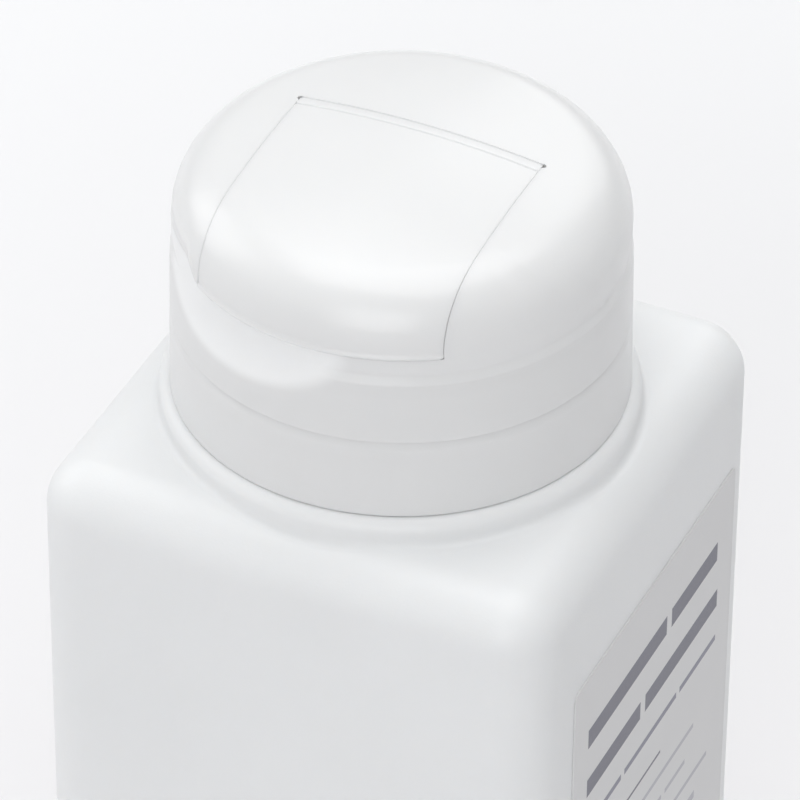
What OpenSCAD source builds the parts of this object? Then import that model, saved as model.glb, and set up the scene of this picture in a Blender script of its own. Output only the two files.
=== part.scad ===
// Squarish powder bottle with a domed screw cap and a flip-top flap.
// Millimetres. The origin is the middle of the bottle's foot, +Z is up.
// The label is on the +X face and the flap opens towards -Y.

/* [Bottle] */
// Width of the body along X
body_w = 72; // [68:1:110]
// Depth of the body along Y
body_d = 72; // [68:1:110]
// Height from the foot to the flat of the shoulder
body_h = 130; // [80:1:220]
// Radius of the four upright corners
corner_r = 7; // [7:0.5:14]
// Radius from the sides into the shoulder
shoulder_r = 7; // [3:0.5:7]
// Radius around the foot
foot_r = 4; // [2:0.5:5]
// Wall of the body
body_wall = 1.2; // [0.8:0.1:1.8]
// Depth of the hollow under the foot
foot_hollow = 1.5; // [0.5:0.1:3]
// Width of the flat ring that the bottle stands on, from the foot radius inwards
foot_ring_w = 5; // [3:0.5:8]

/* [Neck] */
// Height of the neck from the shoulder to its lip
neck_h = 25.4; // [22:0.2:32]
// Bore of the neck
neck_bore_d = 48; // [40:0.5:48.5]
// Wall of the neck
neck_wall = 2; // [1.4:0.1:2.2]
// Outside of the round collar under the cap
collar_d = 62.8; // [61.5:0.1:66]
// Height of the collar
collar_h = 3.7; // [2.6:0.1:4.5]
// Radius around the top of the collar
collar_round = 1.8; // [0.5:0.1:2.4]
// Fillet from the collar into the shoulder
collar_fillet = 1.1; // [0.4:0.1:1.1]

/* [Thread] */
// Rise of the thread in one turn
thread_pitch = 5; // [4:0.25:6]
// How far each thread stands out of its wall
thread_depth = 1.4; // [1:0.1:1.6]
// Width of a thread at its wall
thread_root_w = 2.2; // [1.4:0.1:2.2]
// Width of a thread at its crest
thread_crest_w = 1; // [0.6:0.1:1.2]
// Turns of each thread
thread_turns = 1.25; // [0.75:0.05:1.3]
// Distance from the lip down to the end of the neck's thread
thread_lead_in = 3; // [2.5:0.5:5]

/* [Cap] */
// Outside of the skirt at its foot
cap_d = 60; // [60:0.1:61.4]
// Height of the dome's middle above the window's sill
dome_h = 11.5; // [10.5:0.5:16]
// How much narrower the skirt is at the ledge than at its foot, across
skirt_draft = 0.7; // [0:0.1:0.8]
// Inside of the skirt
skirt_bore_d = 55.6; // [55.4:0.1:56]
// Distance from the window's sill down to the ledge
ledge_drop = 2.5; // [1:0.1:4]
// Step in from the skirt to the dome at the ledge
ledge_step = 0.2; // [0.1:0.05:0.4]
// Height of the fine groove above the cap's foot
groove_h = 11.3; // [6:0.1:14]
// Depth of the fine groove
groove_depth = 0.25; // [0.1:0.05:0.4]
// Radius between the dome's wall and its top
dome_edge_r = 8.5; // [6:0.5:10]
// Radius of the slightly crowned top
crown_r = 130; // [100:5:300]
// Wall of the dome
dome_wall = 1.8; // [1.7:0.1:2.2]

/* [Flap] */
// Width of the window for the flap
window_w = 34; // [28:0.5:38]
// Distance of the hinge line behind the cap's middle
hinge_back = 5.5; // [2:0.5:8]
// Wall of the flap
flap_wall = 1.6; // [1.2:0.1:2]
// Wall of the sealing rim under the flap
rim_wall = 1.2; // [0.8:0.1:1.6]
// Distance from the flap's edge in to the rim
rim_inset = 1.4; // [1:0.1:3]
// Width of the thin hinge strip
hinge_strip_w = 1.4; // [1:0.1:2]
// Thickness of the hinge strip
hinge_strip_t = 0.7; // [0.5:0.1:1]
// Depth of the fine line between the hinge strip and the flap
hinge_line_depth = 0.4; // [0.2:0.05:0.5]
// Width of that line
hinge_line_w = 0.3; // [0.2:0.05:0.5]
// Height of the hinge's axis over the dome
hinge_lift = 0.05; // [0:0.05:0.3]
// Relief hole at each end of the hinge
relief_d = 1.1; // [0.8:0.1:1.6]

/* [Finger scoop] */
// Direction of the scoop's middle, turned from the flap's middle away from the label
scoop_turn = 24; // [0:1:40]
// Depth of the scoop under the flap's edge
scoop_depth = 1.2; // [0.6:0.1:1.4]
// Height of the scoop below the sill
scoop_h = 9; // [5:0.5:11]
// Height of the scoop above the sill, beside the window
scoop_rise = 2.9; // [0.5:0.1:3.5]
// Half of the angle that the scoop takes up around the cap
scoop_half_angle = 37; // [25:1:42]

/* [Insert] */
// Thickness of the insert's floor
floor_t = 1.6; // [1.2:0.1:2]
// Wall of the insert's three sides
tray_wall = 1.2; // [0.8:0.1:1.6]
// Diameter of each sprinkle hole
hole_d = 4.6; // [3:0.1:5]
// Spacing of the sprinkle holes
hole_step = 7; // [6:0.1:9]
// Least distance from a hole's edge to the rim and to the neck's bore
hole_margin = 0.8; // [0.4:0.1:3]
// How far the bead that holds the insert stands out of the skirt
bead_r = 0.5; // [0.3:0.1:0.5]

/* [Seal ring] */
// Thickness of the seal ring
seal_t = 1.2; // [0.8:0.1:1.6]

/* [Label] */
// Gap from the front corner's round to the label
label_front_gap = 5; // [0.5:0.5:15]
// Gap from the back corner's round to the label
label_back_gap = 0.5; // [0.5:0.5:15]
// Gap from the shoulder's round down to the label
label_top_gap = 13; // [2:0.5:25]
// Gap from the foot's round up to the label
label_foot_gap = 14; // [2:0.5:25]
// Corner radius of the label
label_corner_r = 1.5; // [0.5:0.1:4]
// Thickness of the label
label_t = 0.15; // [0.1:0.05:0.3]

/* [Clearances] */
// Gap between the collar and the cap's foot
cap_gap = 0.5; // [0.3:0.1:1]
// Gap around the flap's sides
flap_side_gap = 0.2; // [0.15:0.05:0.4]
// Gap under the flap's front edge
flap_sill_gap = 0.35; // [0.3:0.05:0.6]
// Gap at the hinge line
hinge_gap = 0.25; // [0.2:0.05:0.4]
// Gap between the insert and the cap
insert_gap = 0.1; // [0.05:0.05:0.3]
// Gap between the tray's walls and the flap's window
tray_gap = 0.2; // [0.1:0.05:0.4]

/* [Hidden] */
$fn = 96;

// Radii
neck_bore_r = neck_bore_d / 2;
neck_r = neck_bore_r + neck_wall;
collar_r = collar_d / 2;
cap_r = cap_d / 2;
skirt_bore_r = skirt_bore_d / 2;
skirt_top_r = cap_r - skirt_draft / 2;
dome_r = skirt_top_r - ledge_step;

// Heights, from the foot of the bottle
cap_z = body_h + collar_h + cap_gap;
lip_z = body_h + neck_h;
floor_z = lip_z + seal_t;
sill_z = floor_z + floor_t;
ledge_z = sill_z - ledge_drop;
groove_z = cap_z + groove_h;
apex_z = sill_z + dome_h;

// The dome's top: a wide crown arc that runs into the edge arc
edge_arc_x = dome_r - dome_edge_r;
crown_centre_z = apex_z - crown_r;
edge_arc_z = crown_centre_z + sqrt(pow(crown_r - dome_edge_r, 2) - pow(edge_arc_x, 2));

// The height of the crown at a distance from the cap's axis
function crown_z(y) = crown_centre_z + sqrt(pow(crown_r, 2) - pow(y, 2));

// The flap's pin joint: its axis runs along X just over the crown, so the flap swings clear
hinge_axis_y = hinge_back + hinge_gap / 2;
hinge_axis_z = crown_z(hinge_back) + hinge_lift;

// The turned cutter of the finger scoop: a ring that bites into the skirt from one side
scoop_c = cos(scoop_half_angle);
scoop_bed_r = skirt_top_r - scoop_depth;
scoop_offset = (pow(skirt_top_r, 2) - pow(scoop_bed_r, 2)) / (2 * (scoop_bed_r - skirt_top_r * scoop_c));
scoop_ring_r = scoop_bed_r + scoop_offset;
scoop_curve_r = (pow(scoop_h, 2) + pow(scoop_depth, 2)) / (2 * scoop_depth);

// The sealing rim under the flap, and the field of sprinkle holes inside it
rim_z = sill_z + flap_sill_gap;
rim_half = window_w / 2 - flap_side_gap - rim_inset;
rim_back = hinge_back - hinge_strip_w - rim_inset;
hole_half = rim_half - rim_wall - hole_margin - hole_d / 2;
hole_back = rim_back - rim_wall - hole_margin - hole_d / 2;
hole_reach = neck_bore_r - hole_margin - hole_d / 2;
hole_row_step = hole_step * sin(60);
hole_places = [
    for (row = [0:floor((hole_back + hole_reach) / hole_row_step)], col = [-5:5])
        let (x = (col + (row % 2) / 2) * hole_step, y = hole_back - row * hole_row_step)
            if (abs(x) <= hole_half && norm([x, y]) <= hole_reach) [x, y]
];

// How far past a face each cutter runs
cut = 1;

// A thread is drawn in sections this many degrees apart, with its root sunk into the wall.
// Its height runs out to almost nothing over the first and the last degrees
thread_step = 7.5;
thread_sink = 0.3;
thread_runout = 30;
thread_least = 0.08;

// Where the two threads start: they lie on one helix, half a pitch apart
neck_thread_z = lip_z - thread_lead_in - thread_pitch * thread_turns;
cap_thread_z = neck_thread_z - thread_pitch / 2;

// The outline of a block's upright edge: a strip whose top and foot are rounded off
module block_edge(corner, top, foot, h) {
    difference() {
        square([corner, h]);
        difference() {
            translate([corner - top, h - top])
                square([top + cut, top + cut]);
            translate([corner - top, h - top])
                circle(r = top);
        }
        difference() {
            translate([corner - foot, -cut])
                square([foot + cut, foot + cut]);
            translate([corner - foot, foot])
                circle(r = foot);
        }
    }
}

module block_corner(corner, top, foot, h) {
    rotate_extrude()
        block_edge(corner, top, foot, h);
}

module block_side(length, corner, top, foot, h) {
    translate([0, length / 2, 0])
        rotate([90, 0, 0])
            linear_extrude(length)
                block_edge(corner, top, foot, h);
}

module rounded_block(w, d, h, corner, top, foot) {
    core_w = w - 2 * corner;
    core_d = d - 2 * corner;
    translate([-core_w / 2, -core_d / 2, 0])
        cube([core_w, core_d, h]);
    for (sx = [-1, 1], sy = [-1, 1])
        translate([sx * core_w / 2, sy * core_d / 2, 0])
            block_corner(corner, top, foot, h);
    for (side = [0, 180]) {
        rotate([0, 0, side])
            translate([core_w / 2, 0, 0])
                block_side(core_d, corner, top, foot, h);
        rotate([0, 0, side + 90])
            translate([core_d / 2, 0, 0])
                block_side(core_w, corner, top, foot, h);
    }
}

// One section of a thread. side is 1 where it stands outwards and -1 where it stands inwards
function thread_section(wall_r, side, angle, total) =
    let (
        grow = min(1, min(angle, total - angle) / thread_runout),
        reach = max(thread_least, grow) * thread_depth,
        rise = thread_pitch * angle / 360,
        sunk_r = wall_r - side * thread_sink,
        tip_r = wall_r + side * reach,
        tip_w = thread_root_w - (thread_root_w - thread_crest_w) * reach / thread_depth
    )
    [
        [sunk_r, rise - thread_root_w / 2],
        [tip_r, rise - tip_w / 2],
        [tip_r, rise + tip_w / 2],
        [sunk_r, rise + thread_root_w / 2]
    ];

module thread(wall_r, side, start_z) {
    total = 360 * thread_turns;
    steps = ceil(total / thread_step);
    points = [
        for (i = [0:steps])
            let (angle = total * i / steps)
            for (p = thread_section(wall_r, side, angle, total))
                [p[0] * cos(angle), p[0] * sin(angle), start_z + p[1]]
    ];
    flip = side < 0;
    quads = [
        for (i = [0:steps - 1], k = [0:3])
            let (n = (k + 1) % 4, a = 4 * i + k, b = 4 * i + n, c = a + 4, d = b + 4)
            for (tri = [[a, c, b], [b, c, d]])
                flip ? tri : [tri[2], tri[1], tri[0]]
    ];
    first = [[0, 1, 2], [0, 2, 3]];
    last = [for (tri = first) [for (v = [2, 1, 0]) tri[v] + 4 * steps]];
    ends = [for (tri = concat(first, last)) flip ? tri : [tri[2], tri[1], tri[0]]];
    polyhedron(points = points, faces = concat(quads, ends));
}

// Half outline of the neck and its collar, which start inside the shoulder
module neck_outline() {
    square([neck_r, shoulder_r + neck_h]);
    square([collar_r - collar_round, shoulder_r + collar_h]);
    square([collar_r, shoulder_r + collar_h - collar_round]);
    translate([collar_r - collar_round, shoulder_r + collar_h - collar_round])
        circle(r = collar_round);
    difference() {
        square([collar_r + collar_fillet, shoulder_r + collar_fillet]);
        translate([collar_r + collar_fillet, shoulder_r + collar_fillet])
            circle(r = collar_fillet);
    }
}

// The inside of the body, whose floor is raised over the hollow under the foot, and the neck's bore
module bottle_hollow() {
    pad_inset = 2 * (foot_r + foot_ring_w - body_wall);
    difference() {
        translate([0, 0, body_wall])
            rounded_block(body_w - 2 * body_wall, body_d - 2 * body_wall, body_h - 2 * body_wall,
                corner_r - body_wall, shoulder_r - body_wall, foot_r - body_wall);
        linear_extrude(body_wall + foot_hollow)
            rounded_square(body_w - pad_inset, body_d - pad_inset, corner_r);
    }
    translate([0, 0, body_h - 2 * body_wall])
        cylinder(r = neck_bore_r, h = neck_h + 3 * body_wall);
}

module bottle() {
    foot_inset = 2 * (foot_r + foot_ring_w);
    color("whitesmoke")
        difference() {
            union() {
                rounded_block(body_w, body_d, body_h, corner_r, shoulder_r, foot_r);
                translate([0, 0, body_h - shoulder_r])
                    rotate_extrude()
                        neck_outline();
                thread(neck_r, 1, neck_thread_z);
            }
            bottle_hollow();
            translate([0, 0, -cut])
                linear_extrude(foot_hollow + cut)
                    rounded_square(body_w - foot_inset, body_d - foot_inset, corner_r - body_wall);
        }
}

module rounded_square(w, d, r) {
    square([w - 2 * r, d], center = true);
    square([w, d - 2 * r], center = true);
    for (sx = [-1, 1], sy = [-1, 1])
        translate([sx * (w / 2 - r), sy * (d / 2 - r)])
            circle(r = r);
}

// The flat seal between the neck's lip and the insert
module seal_ring() {
    color("gainsboro")
        translate([0, 0, lip_z])
            difference() {
                cylinder(r = neck_r + insert_gap, h = seal_t);
                translate([0, 0, -cut])
                    cylinder(r = neck_bore_r, h = seal_t + 2 * cut);
            }
}

// Half outline of the dome from a given height up, drawn in from its surface by a wall
module dome_outline(inset, from_z) {
    reach = 2 * crown_r;
    turn = atan2(edge_arc_x, edge_arc_z - crown_centre_z);
    intersection() {
        union() {
            intersection() {
                translate([0, crown_centre_z])
                    circle(r = crown_r - inset, $fn = 4 * $fn);
                polygon([[0, crown_centre_z], [reach * sin(turn), crown_centre_z + reach * cos(turn)],
                    [0, crown_centre_z + reach]]);
            }
            translate([edge_arc_x, edge_arc_z])
                circle(r = dome_edge_r - inset);
            translate([0, edge_arc_z - crown_r])
                square([dome_r - inset, crown_r]);
        }
        translate([0, from_z])
            square([dome_r, crown_r]);
    }
}

module dome_solid(inset, from_z) {
    rotate_extrude()
        dome_outline(inset, from_z);
}

module skirt_outline() {
    polygon([[0, cap_z], [cap_r, cap_z], [skirt_top_r, ledge_z], [0, ledge_z]]);
}

module groove_outline() {
    groove_r = cap_r - skirt_draft / 2 * groove_h / (ledge_z - cap_z);
    polygon([[groove_r + cut, groove_z - cut - groove_depth], [groove_r - groove_depth, groove_z],
        [groove_r + cut, groove_z + cut + groove_depth]]);
}

module scoop_cutter() {
    rotate([0, 0, -90 - scoop_turn])
        translate([-scoop_offset, 0, 0])
            rotate_extrude() {
                intersection() {
                    translate([scoop_ring_r + scoop_curve_r, sill_z])
                        circle(r = scoop_curve_r);
                    translate([0, sill_z - scoop_h - cut])
                        square([scoop_ring_r + scoop_h, scoop_h + cut]);
                }
                translate([scoop_ring_r, sill_z])
                    square([scoop_h, scoop_rise]);
            }
}

module window_cutter(side_gap, back_gap) {
    half = window_w / 2 - side_gap;
    translate([-half, -cap_r - cut, sill_z])
        cube([2 * half, cap_r + cut + hinge_back + back_gap, dome_h + cut]);
}

// The skirt and the dome in one moulding
module cap() {
    bead_z = floor_z - bead_r - insert_gap;
    color("white")
        difference() {
            union() {
                difference() {
                    union() {
                        rotate_extrude()
                            skirt_outline();
                        dome_solid(0, ledge_z);
                    }
                    dome_solid(dome_wall, sill_z - cut);
                    translate([0, 0, cap_z - cut])
                        cylinder(r = skirt_bore_r, h = sill_z - cap_z + cut);
                }
                translate([0, 0, bead_z])
                    rotate_extrude()
                        intersection() {
                            translate([skirt_bore_r, 0])
                                circle(r = bead_r);
                            translate([skirt_bore_r - bead_r, -bead_r])
                                square([2 * bead_r, 2 * bead_r]);
                        }
                thread(skirt_bore_r, -1, cap_thread_z);
            }
            rotate_extrude()
                groove_outline();
            window_cutter(0, hinge_gap);
            for (sx = [-1, 1])
                translate([sx * window_w / 2, hinge_back, sill_z])
                    cylinder(d = relief_d, h = dome_h + cut);
            scoop_cutter();
        }
}

// The sprinkle floor and the three walls around the window, cut to fit inside the dome
module sprinkle_insert() {
    tray_half = window_w / 2 + tray_gap;
    tray_back = hinge_back + hinge_gap + tray_gap;
    tray_h = floor_t + dome_h;
    color("ghostwhite")
        difference() {
            union() {
                translate([0, 0, floor_z])
                    cylinder(r = skirt_bore_r - insert_gap, h = floor_t - insert_gap);
                intersection() {
                    dome_solid(dome_wall + insert_gap, floor_z);
                    translate([0, 0, floor_z])
                        cylinder(r = skirt_bore_r - insert_gap, h = tray_h);
                    difference() {
                        translate([-tray_half - tray_wall, -cap_r, floor_z])
                            cube([2 * (tray_half + tray_wall), cap_r + tray_back + tray_wall, tray_h]);
                        translate([-tray_half, -cap_r - cut, floor_z - cut])
                            cube([2 * tray_half, cap_r + cut + tray_back, tray_h + 2 * cut]);
                    }
                }
            }
            for (place = hole_places)
                translate([place[0], place[1], floor_z - cut])
                    cylinder(d = hole_d, h = floor_t + 2 * cut);
        }
}

// The flap's skin, with its hinge strip thinned from below
module flap_skin() {
    intersection() {
        difference() {
            dome_solid(0, rim_z);
            dome_solid(flap_wall, rim_z - cut);
            intersection() {
                dome_solid(hinge_strip_t, rim_z);
                translate([-cap_r, hinge_back - hinge_strip_w, rim_z])
                    cube([cap_d, cap_d, dome_h]);
            }
        }
        window_cutter(flap_side_gap, 0);
    }
}

// The sealing rim: two sides and a back under the skin
module flap_rim() {
    intersection() {
        dome_solid(flap_wall / 2, rim_z);
        difference() {
            translate([-rim_half, -cap_r, rim_z])
                cube([2 * rim_half, cap_r + rim_back, dome_h]);
            translate([-rim_half + rim_wall, -cap_r - cut, rim_z - cut])
                cube([2 * (rim_half - rim_wall), cap_r + cut + rim_back - rim_wall, dome_h + 2 * cut]);
        }
    }
}

module flap() {
    color("white")
        difference() {
            union() {
                flap_skin();
                flap_rim();
            }
            hinge_line();
        }
}

// The fine line between the hinge strip and the flap follows the crown
module hinge_line() {
    line_y = hinge_back - hinge_strip_w;
    line_r = crown_z(line_y) - crown_centre_z;
    translate([0, line_y + hinge_line_w / 2, crown_centre_z])
        rotate([90, 0, 0])
            linear_extrude(hinge_line_w)
                intersection() {
                    difference() {
                        circle(r = line_r + cut, $fn = 4 * $fn);
                        circle(r = line_r - hinge_line_depth, $fn = 4 * $fn);
                    }
                    translate([-cap_r, 0])
                        square([cap_d, 2 * crown_r]);
                }
}

module label() {
    label_front = -body_d / 2 + corner_r + label_front_gap;
    label_back = body_d / 2 - corner_r - label_back_gap;
    label_foot = foot_r + label_foot_gap;
    label_top = body_h - shoulder_r - label_top_gap;
    color("silver")
        translate([body_w / 2, (label_front + label_back) / 2, (label_foot + label_top) / 2])
            rotate([0, 90, 0])
                linear_extrude(label_t)
                    rounded_square(label_top - label_foot, label_back - label_front, label_corner_r);
}

bottle();
seal_ring();
cap();
sprinkle_insert();
flap();
label();
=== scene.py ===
"""The looks of a squarish powder bottle with a domed flip-top cap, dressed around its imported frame.

Lengths are written in millimetres and turned into metres where a mesh is made. The frame's own
axes hold everywhere: +Z is up, the label faces +X and the flap opens towards -Y. A plan angle is
measured from -Y towards +X.
"""

import logging
import math
from dataclasses import dataclass, field
from enum import Enum

import bmesh
import bpy
import numpy as np
from mathutils import Matrix, Vector

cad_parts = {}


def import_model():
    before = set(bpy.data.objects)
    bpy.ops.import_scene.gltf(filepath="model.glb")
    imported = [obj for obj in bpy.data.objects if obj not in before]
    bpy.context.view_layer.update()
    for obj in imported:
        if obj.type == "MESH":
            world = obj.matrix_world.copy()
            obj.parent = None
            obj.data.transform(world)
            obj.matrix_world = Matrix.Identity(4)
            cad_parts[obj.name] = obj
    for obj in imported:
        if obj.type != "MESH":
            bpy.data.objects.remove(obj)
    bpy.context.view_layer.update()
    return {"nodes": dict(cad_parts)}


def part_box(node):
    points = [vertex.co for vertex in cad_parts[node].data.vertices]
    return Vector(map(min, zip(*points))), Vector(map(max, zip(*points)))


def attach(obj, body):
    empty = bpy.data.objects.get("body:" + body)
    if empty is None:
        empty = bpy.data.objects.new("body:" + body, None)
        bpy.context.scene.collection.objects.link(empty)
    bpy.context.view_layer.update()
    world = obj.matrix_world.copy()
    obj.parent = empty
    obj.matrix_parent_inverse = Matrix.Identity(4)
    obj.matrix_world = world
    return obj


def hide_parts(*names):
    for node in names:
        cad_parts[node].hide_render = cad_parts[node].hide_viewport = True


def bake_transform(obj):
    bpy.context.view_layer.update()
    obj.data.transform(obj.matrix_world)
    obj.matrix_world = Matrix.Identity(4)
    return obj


MM = 0.001
FULL_TURN = 2 * math.pi
QUARTER = math.pi / 2
# Places closer than SAME count as one, and TINY keeps a division from failing.
SAME = 1e-6
TINY = 1e-12
log = logging.getLogger("powder_bottle")


class Body(Enum):
    """The bodies of the frame that pieces ride on."""

    BOTTLE = "bottle"
    CAP = "cap"
    FLAP = "flap"


def node_box(name: str) -> tuple[np.ndarray, np.ndarray]:
    """Gives a node's lowest and highest corner.

    Args:
        name: The node's name in the frame.

    Returns:
        Two arrays of three lengths in millimetres.
    """
    low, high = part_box(name)
    return np.array(low) / MM, np.array(high) / MM


def rise(start: float, end: float, value: np.ndarray) -> np.ndarray:
    """Goes smoothly from 0 at start to 1 at end.

    Args:
        start: The value where the rise begins.
        end: The value where it ends, which may be the lower one.
        value: Where to work it out.

    Returns:
        Numbers from 0 to 1, as many as in value.
    """
    share = np.clip((np.asarray(value, float) - start) / (end - start), 0, 1)
    return share * share * (3 - 2 * share)


def soft_least(a: np.ndarray, b: np.ndarray, blend: float) -> np.ndarray:
    """Takes the lesser of two values and rounds the crease between them.

    Args:
        a: One row of values.
        b: The other row.
        blend: How far apart the two may be for the rounding to act.

    Returns:
        The lesser values.
    """
    near = np.maximum(blend - np.abs(a - b), 0) / blend
    return np.minimum(a, b) - near * near * blend / 4


def unit(vectors: np.ndarray) -> np.ndarray:
    """Scales each row to length one."""
    return vectors / np.maximum(np.linalg.norm(vectors, axis=-1, keepdims=True), TINY)


def around(radius: np.ndarray, angle: np.ndarray, height: np.ndarray) -> np.ndarray:
    """Places points around the upright axis.

    Args:
        radius: Distances from the axis.
        angle: Plan angles from -Y towards +X, in radians.
        height: Heights.

    Returns:
        The points, with x, y and z last.
    """
    radius, angle, height = np.broadcast_arrays(radius, angle, height)
    return np.stack([radius * np.sin(angle), -radius * np.cos(angle), height], axis=-1)


def quarter_turn(steps: int) -> list[tuple[float, float]]:
    """Steps through a quarter of a turn.

    Args:
        steps: How many places to give, both ends among them.

    Returns:
        The sine and the cosine at each place.
    """
    return [(math.sin(turn), math.cos(turn)) for turn in np.linspace(0, QUARTER, steps)]


def corner_pull(p: np.ndarray, q: np.ndarray) -> np.ndarray:
    """Gives how far to draw the points of a square corner in, so that it becomes round.

    Args:
        p: How far each point lies past the corner's centre along one side, or 0.
        q: The same along the other side.

    Returns:
        Shares to take both distances times, 1 outside the corner.
    """
    return np.where((p > 0) & (q > 0), np.maximum(p, q) / np.maximum(np.hypot(p, q), TINY), 1)


@dataclass
class Draft:
    """A mesh being drawn, in millimetres, with each face's material and, per point, the share of painted
    light where the wall is thinned.
    """

    name: str
    points: list = field(default_factory=list)
    faces: list = field(default_factory=list)
    marks: list = field(default_factory=list)
    thin: np.ndarray | None = None

    def add_points(self, points: np.ndarray) -> int:
        """Adds points.

        Args:
            points: Rows of x, y and z.

        Returns:
            The number of the first point added.
        """
        first = len(self.points)
        self.points.extend(np.asarray(points, float).reshape(-1, 3).tolist())
        return first

    def add_face(self, corners: list[int], mark: int = 0) -> None:
        """Adds one face.

        Args:
            corners: The numbers of its points, in order around it.
            mark: The number of its material.
        """
        self.faces.append(corners)
        self.marks.append(mark)

    def add_rows(self, rows: np.ndarray, loop: bool, closed: bool = False, mark: int = 0) -> int:
        """Adds a net of four-sided faces.

        Args:
            rows: Points as rows, columns and x, y, z.
            loop: Whether the last column joins the first.
            closed: Whether the last row joins the first.
            mark: The number of the faces' material.

        Returns:
            The number of the first point added.
        """
        n_rows, n_cols = rows.shape[:2]
        first = self.add_points(rows)
        for i in range(n_rows if closed else n_rows - 1):
            low = first + i * n_cols
            high = first + ((i + 1) % n_rows) * n_cols
            for j in range(n_cols if loop else n_cols - 1):
                k = (j + 1) % n_cols
                self.add_face([low + j, low + k, high + k, high + j], mark)
        return first

    def add_tube(self, net: np.ndarray) -> None:
        """Adds a closed tube: a net whose columns run around it, with a face at each end.

        Args:
            net: Points as rows, columns and x, y, z.
        """
        n_rows, n_cols = net.shape[:2]
        first = self.add_rows(net, loop=True)
        for start in (first, first + (n_rows - 1) * n_cols):
            self.add_face(list(range(start, start + n_cols)))

    def add_shell(self, top: np.ndarray, sides: list[np.ndarray], foot: np.ndarray) -> None:
        """Adds a closed plate: two nets of the same size, joined around their edges.

        Args:
            top: The upper net, as rows, columns and x, y, z.
            sides: Loops of points between the two edges, from the upper one down.
            foot: The lower net.
        """
        n_rows, n_cols = top.shape[:2]
        edge = edge_numbers(n_rows, n_cols)
        loops = [self.add_rows(top, loop=False) + edge]
        for side in sides:
            loops.append(self.add_points(side) + np.arange(len(edge)))
        loops.append(self.add_rows(foot, loop=False) + edge)
        for high, low in zip(loops[:-1], loops[1:]):
            for j in range(len(edge)):
                k = (j + 1) % len(edge)
                self.add_face([int(high[j]), int(high[k]), int(low[k]), int(low[j])])

    def build(self, materials: list[bpy.types.Material]) -> bpy.types.Object:
        """Makes the object, with faces that look outward and smooth shading.

        Args:
            materials: The materials in the order of the faces' numbers.

        Returns:
            The new object, linked to the scene.
        """
        mesh = bpy.data.meshes.new(self.name)
        mesh.from_pydata((np.array(self.points) * MM).tolist(), [], self.faces)
        for material in materials:
            mesh.materials.append(material)
        mesh.polygons.foreach_set("material_index", self.marks)
        mesh.polygons.foreach_set("use_smooth", [True] * len(self.faces))
        draft = bmesh.new()
        draft.from_mesh(mesh)
        bmesh.ops.recalc_face_normals(draft, faces=draft.faces)
        draft.to_mesh(mesh)
        draft.free()
        # The mask of painted light, where the scoop thins the wall, goes to the material as a point
        # attribute.
        if self.thin is not None:
            mesh.attributes.new("painted_light_mask", "FLOAT", "POINT").data.foreach_set("value", self.thin)
        mesh.update()
        made = bpy.data.objects.new(self.name, mesh)
        bpy.context.scene.collection.objects.link(made)
        return made


def edge_numbers(n_rows: int, n_cols: int) -> np.ndarray:
    """Walks once around the edge of a net.

    Args:
        n_rows: How many rows the net has.
        n_cols: How many columns it has.

    Returns:
        The numbers of the net's edge points, in order.
    """
    numbers = np.arange(n_rows * n_cols).reshape(n_rows, n_cols)
    return np.concatenate([numbers[0, :-1], numbers[:-1, -1], numbers[-1, :0:-1], numbers[:0:-1, 0]])


def curve_through(start: np.ndarray, corner: np.ndarray, end: np.ndarray, steps: int) -> np.ndarray:
    """Rounds a corner with a quadratic curve.

    Args:
        start: Where the curve begins: a point, or one row per column of a net.
        corner: The corner that it rounds.
        end: Where it ends.
        steps: How many rows to make, both ends among them.

    Returns:
        The rows of points.
    """
    t = np.linspace(0, 1, steps)[:, None, None]
    return (1 - t) ** 2 * start + 2 * t * (1 - t) * corner + t * t * end


@dataclass
class Thread:
    """A moulded screw thread around a wall, as a closed ridge that is sunk into it."""

    wall_r: float
    outward: bool
    start_z: float
    pitch: float = 5.0
    depth: float = 1.4
    root_w: float = 2.2
    crest_w: float = 1.0
    low: float = 0.06
    turns: float = 1.25
    runout: float = math.radians(30)
    sink: float = 0.3
    step: float = math.radians(3)
    section: tuple = ((0, -1), (0.86, -0.94), (0.97, -0.72), (0.97, 0.72), (0.86, 0.94), (0, 1))

    def draw(self, draft: Draft) -> None:
        """Adds the ridge to a mesh.

        Args:
            draft: The mesh with the wall that the ridge is sunk into.
        """
        total = FULL_TURN * self.turns
        turn = np.linspace(0, total, math.ceil(total / self.step) + 1)
        side = 1 if self.outward else -1
        grow = rise(0, 1, np.minimum(turn, total - turn) / self.runout)
        reach = self.low + (self.depth - self.low) * grow
        tip_w = self.root_w - (self.root_w - self.crest_w) * reach / self.depth
        rows = []
        for out, wide in self.section:
            radius = self.wall_r + side * (reach * out - self.sink * (out == 0))
            half = (self.root_w + (tip_w - self.root_w) * out) / 2
            height = self.start_z + self.pitch * turn / FULL_TURN + wide * half
            rows.append(around(radius, QUARTER + turn, height))
        draft.add_tube(np.stack(rows, axis=1))


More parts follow.
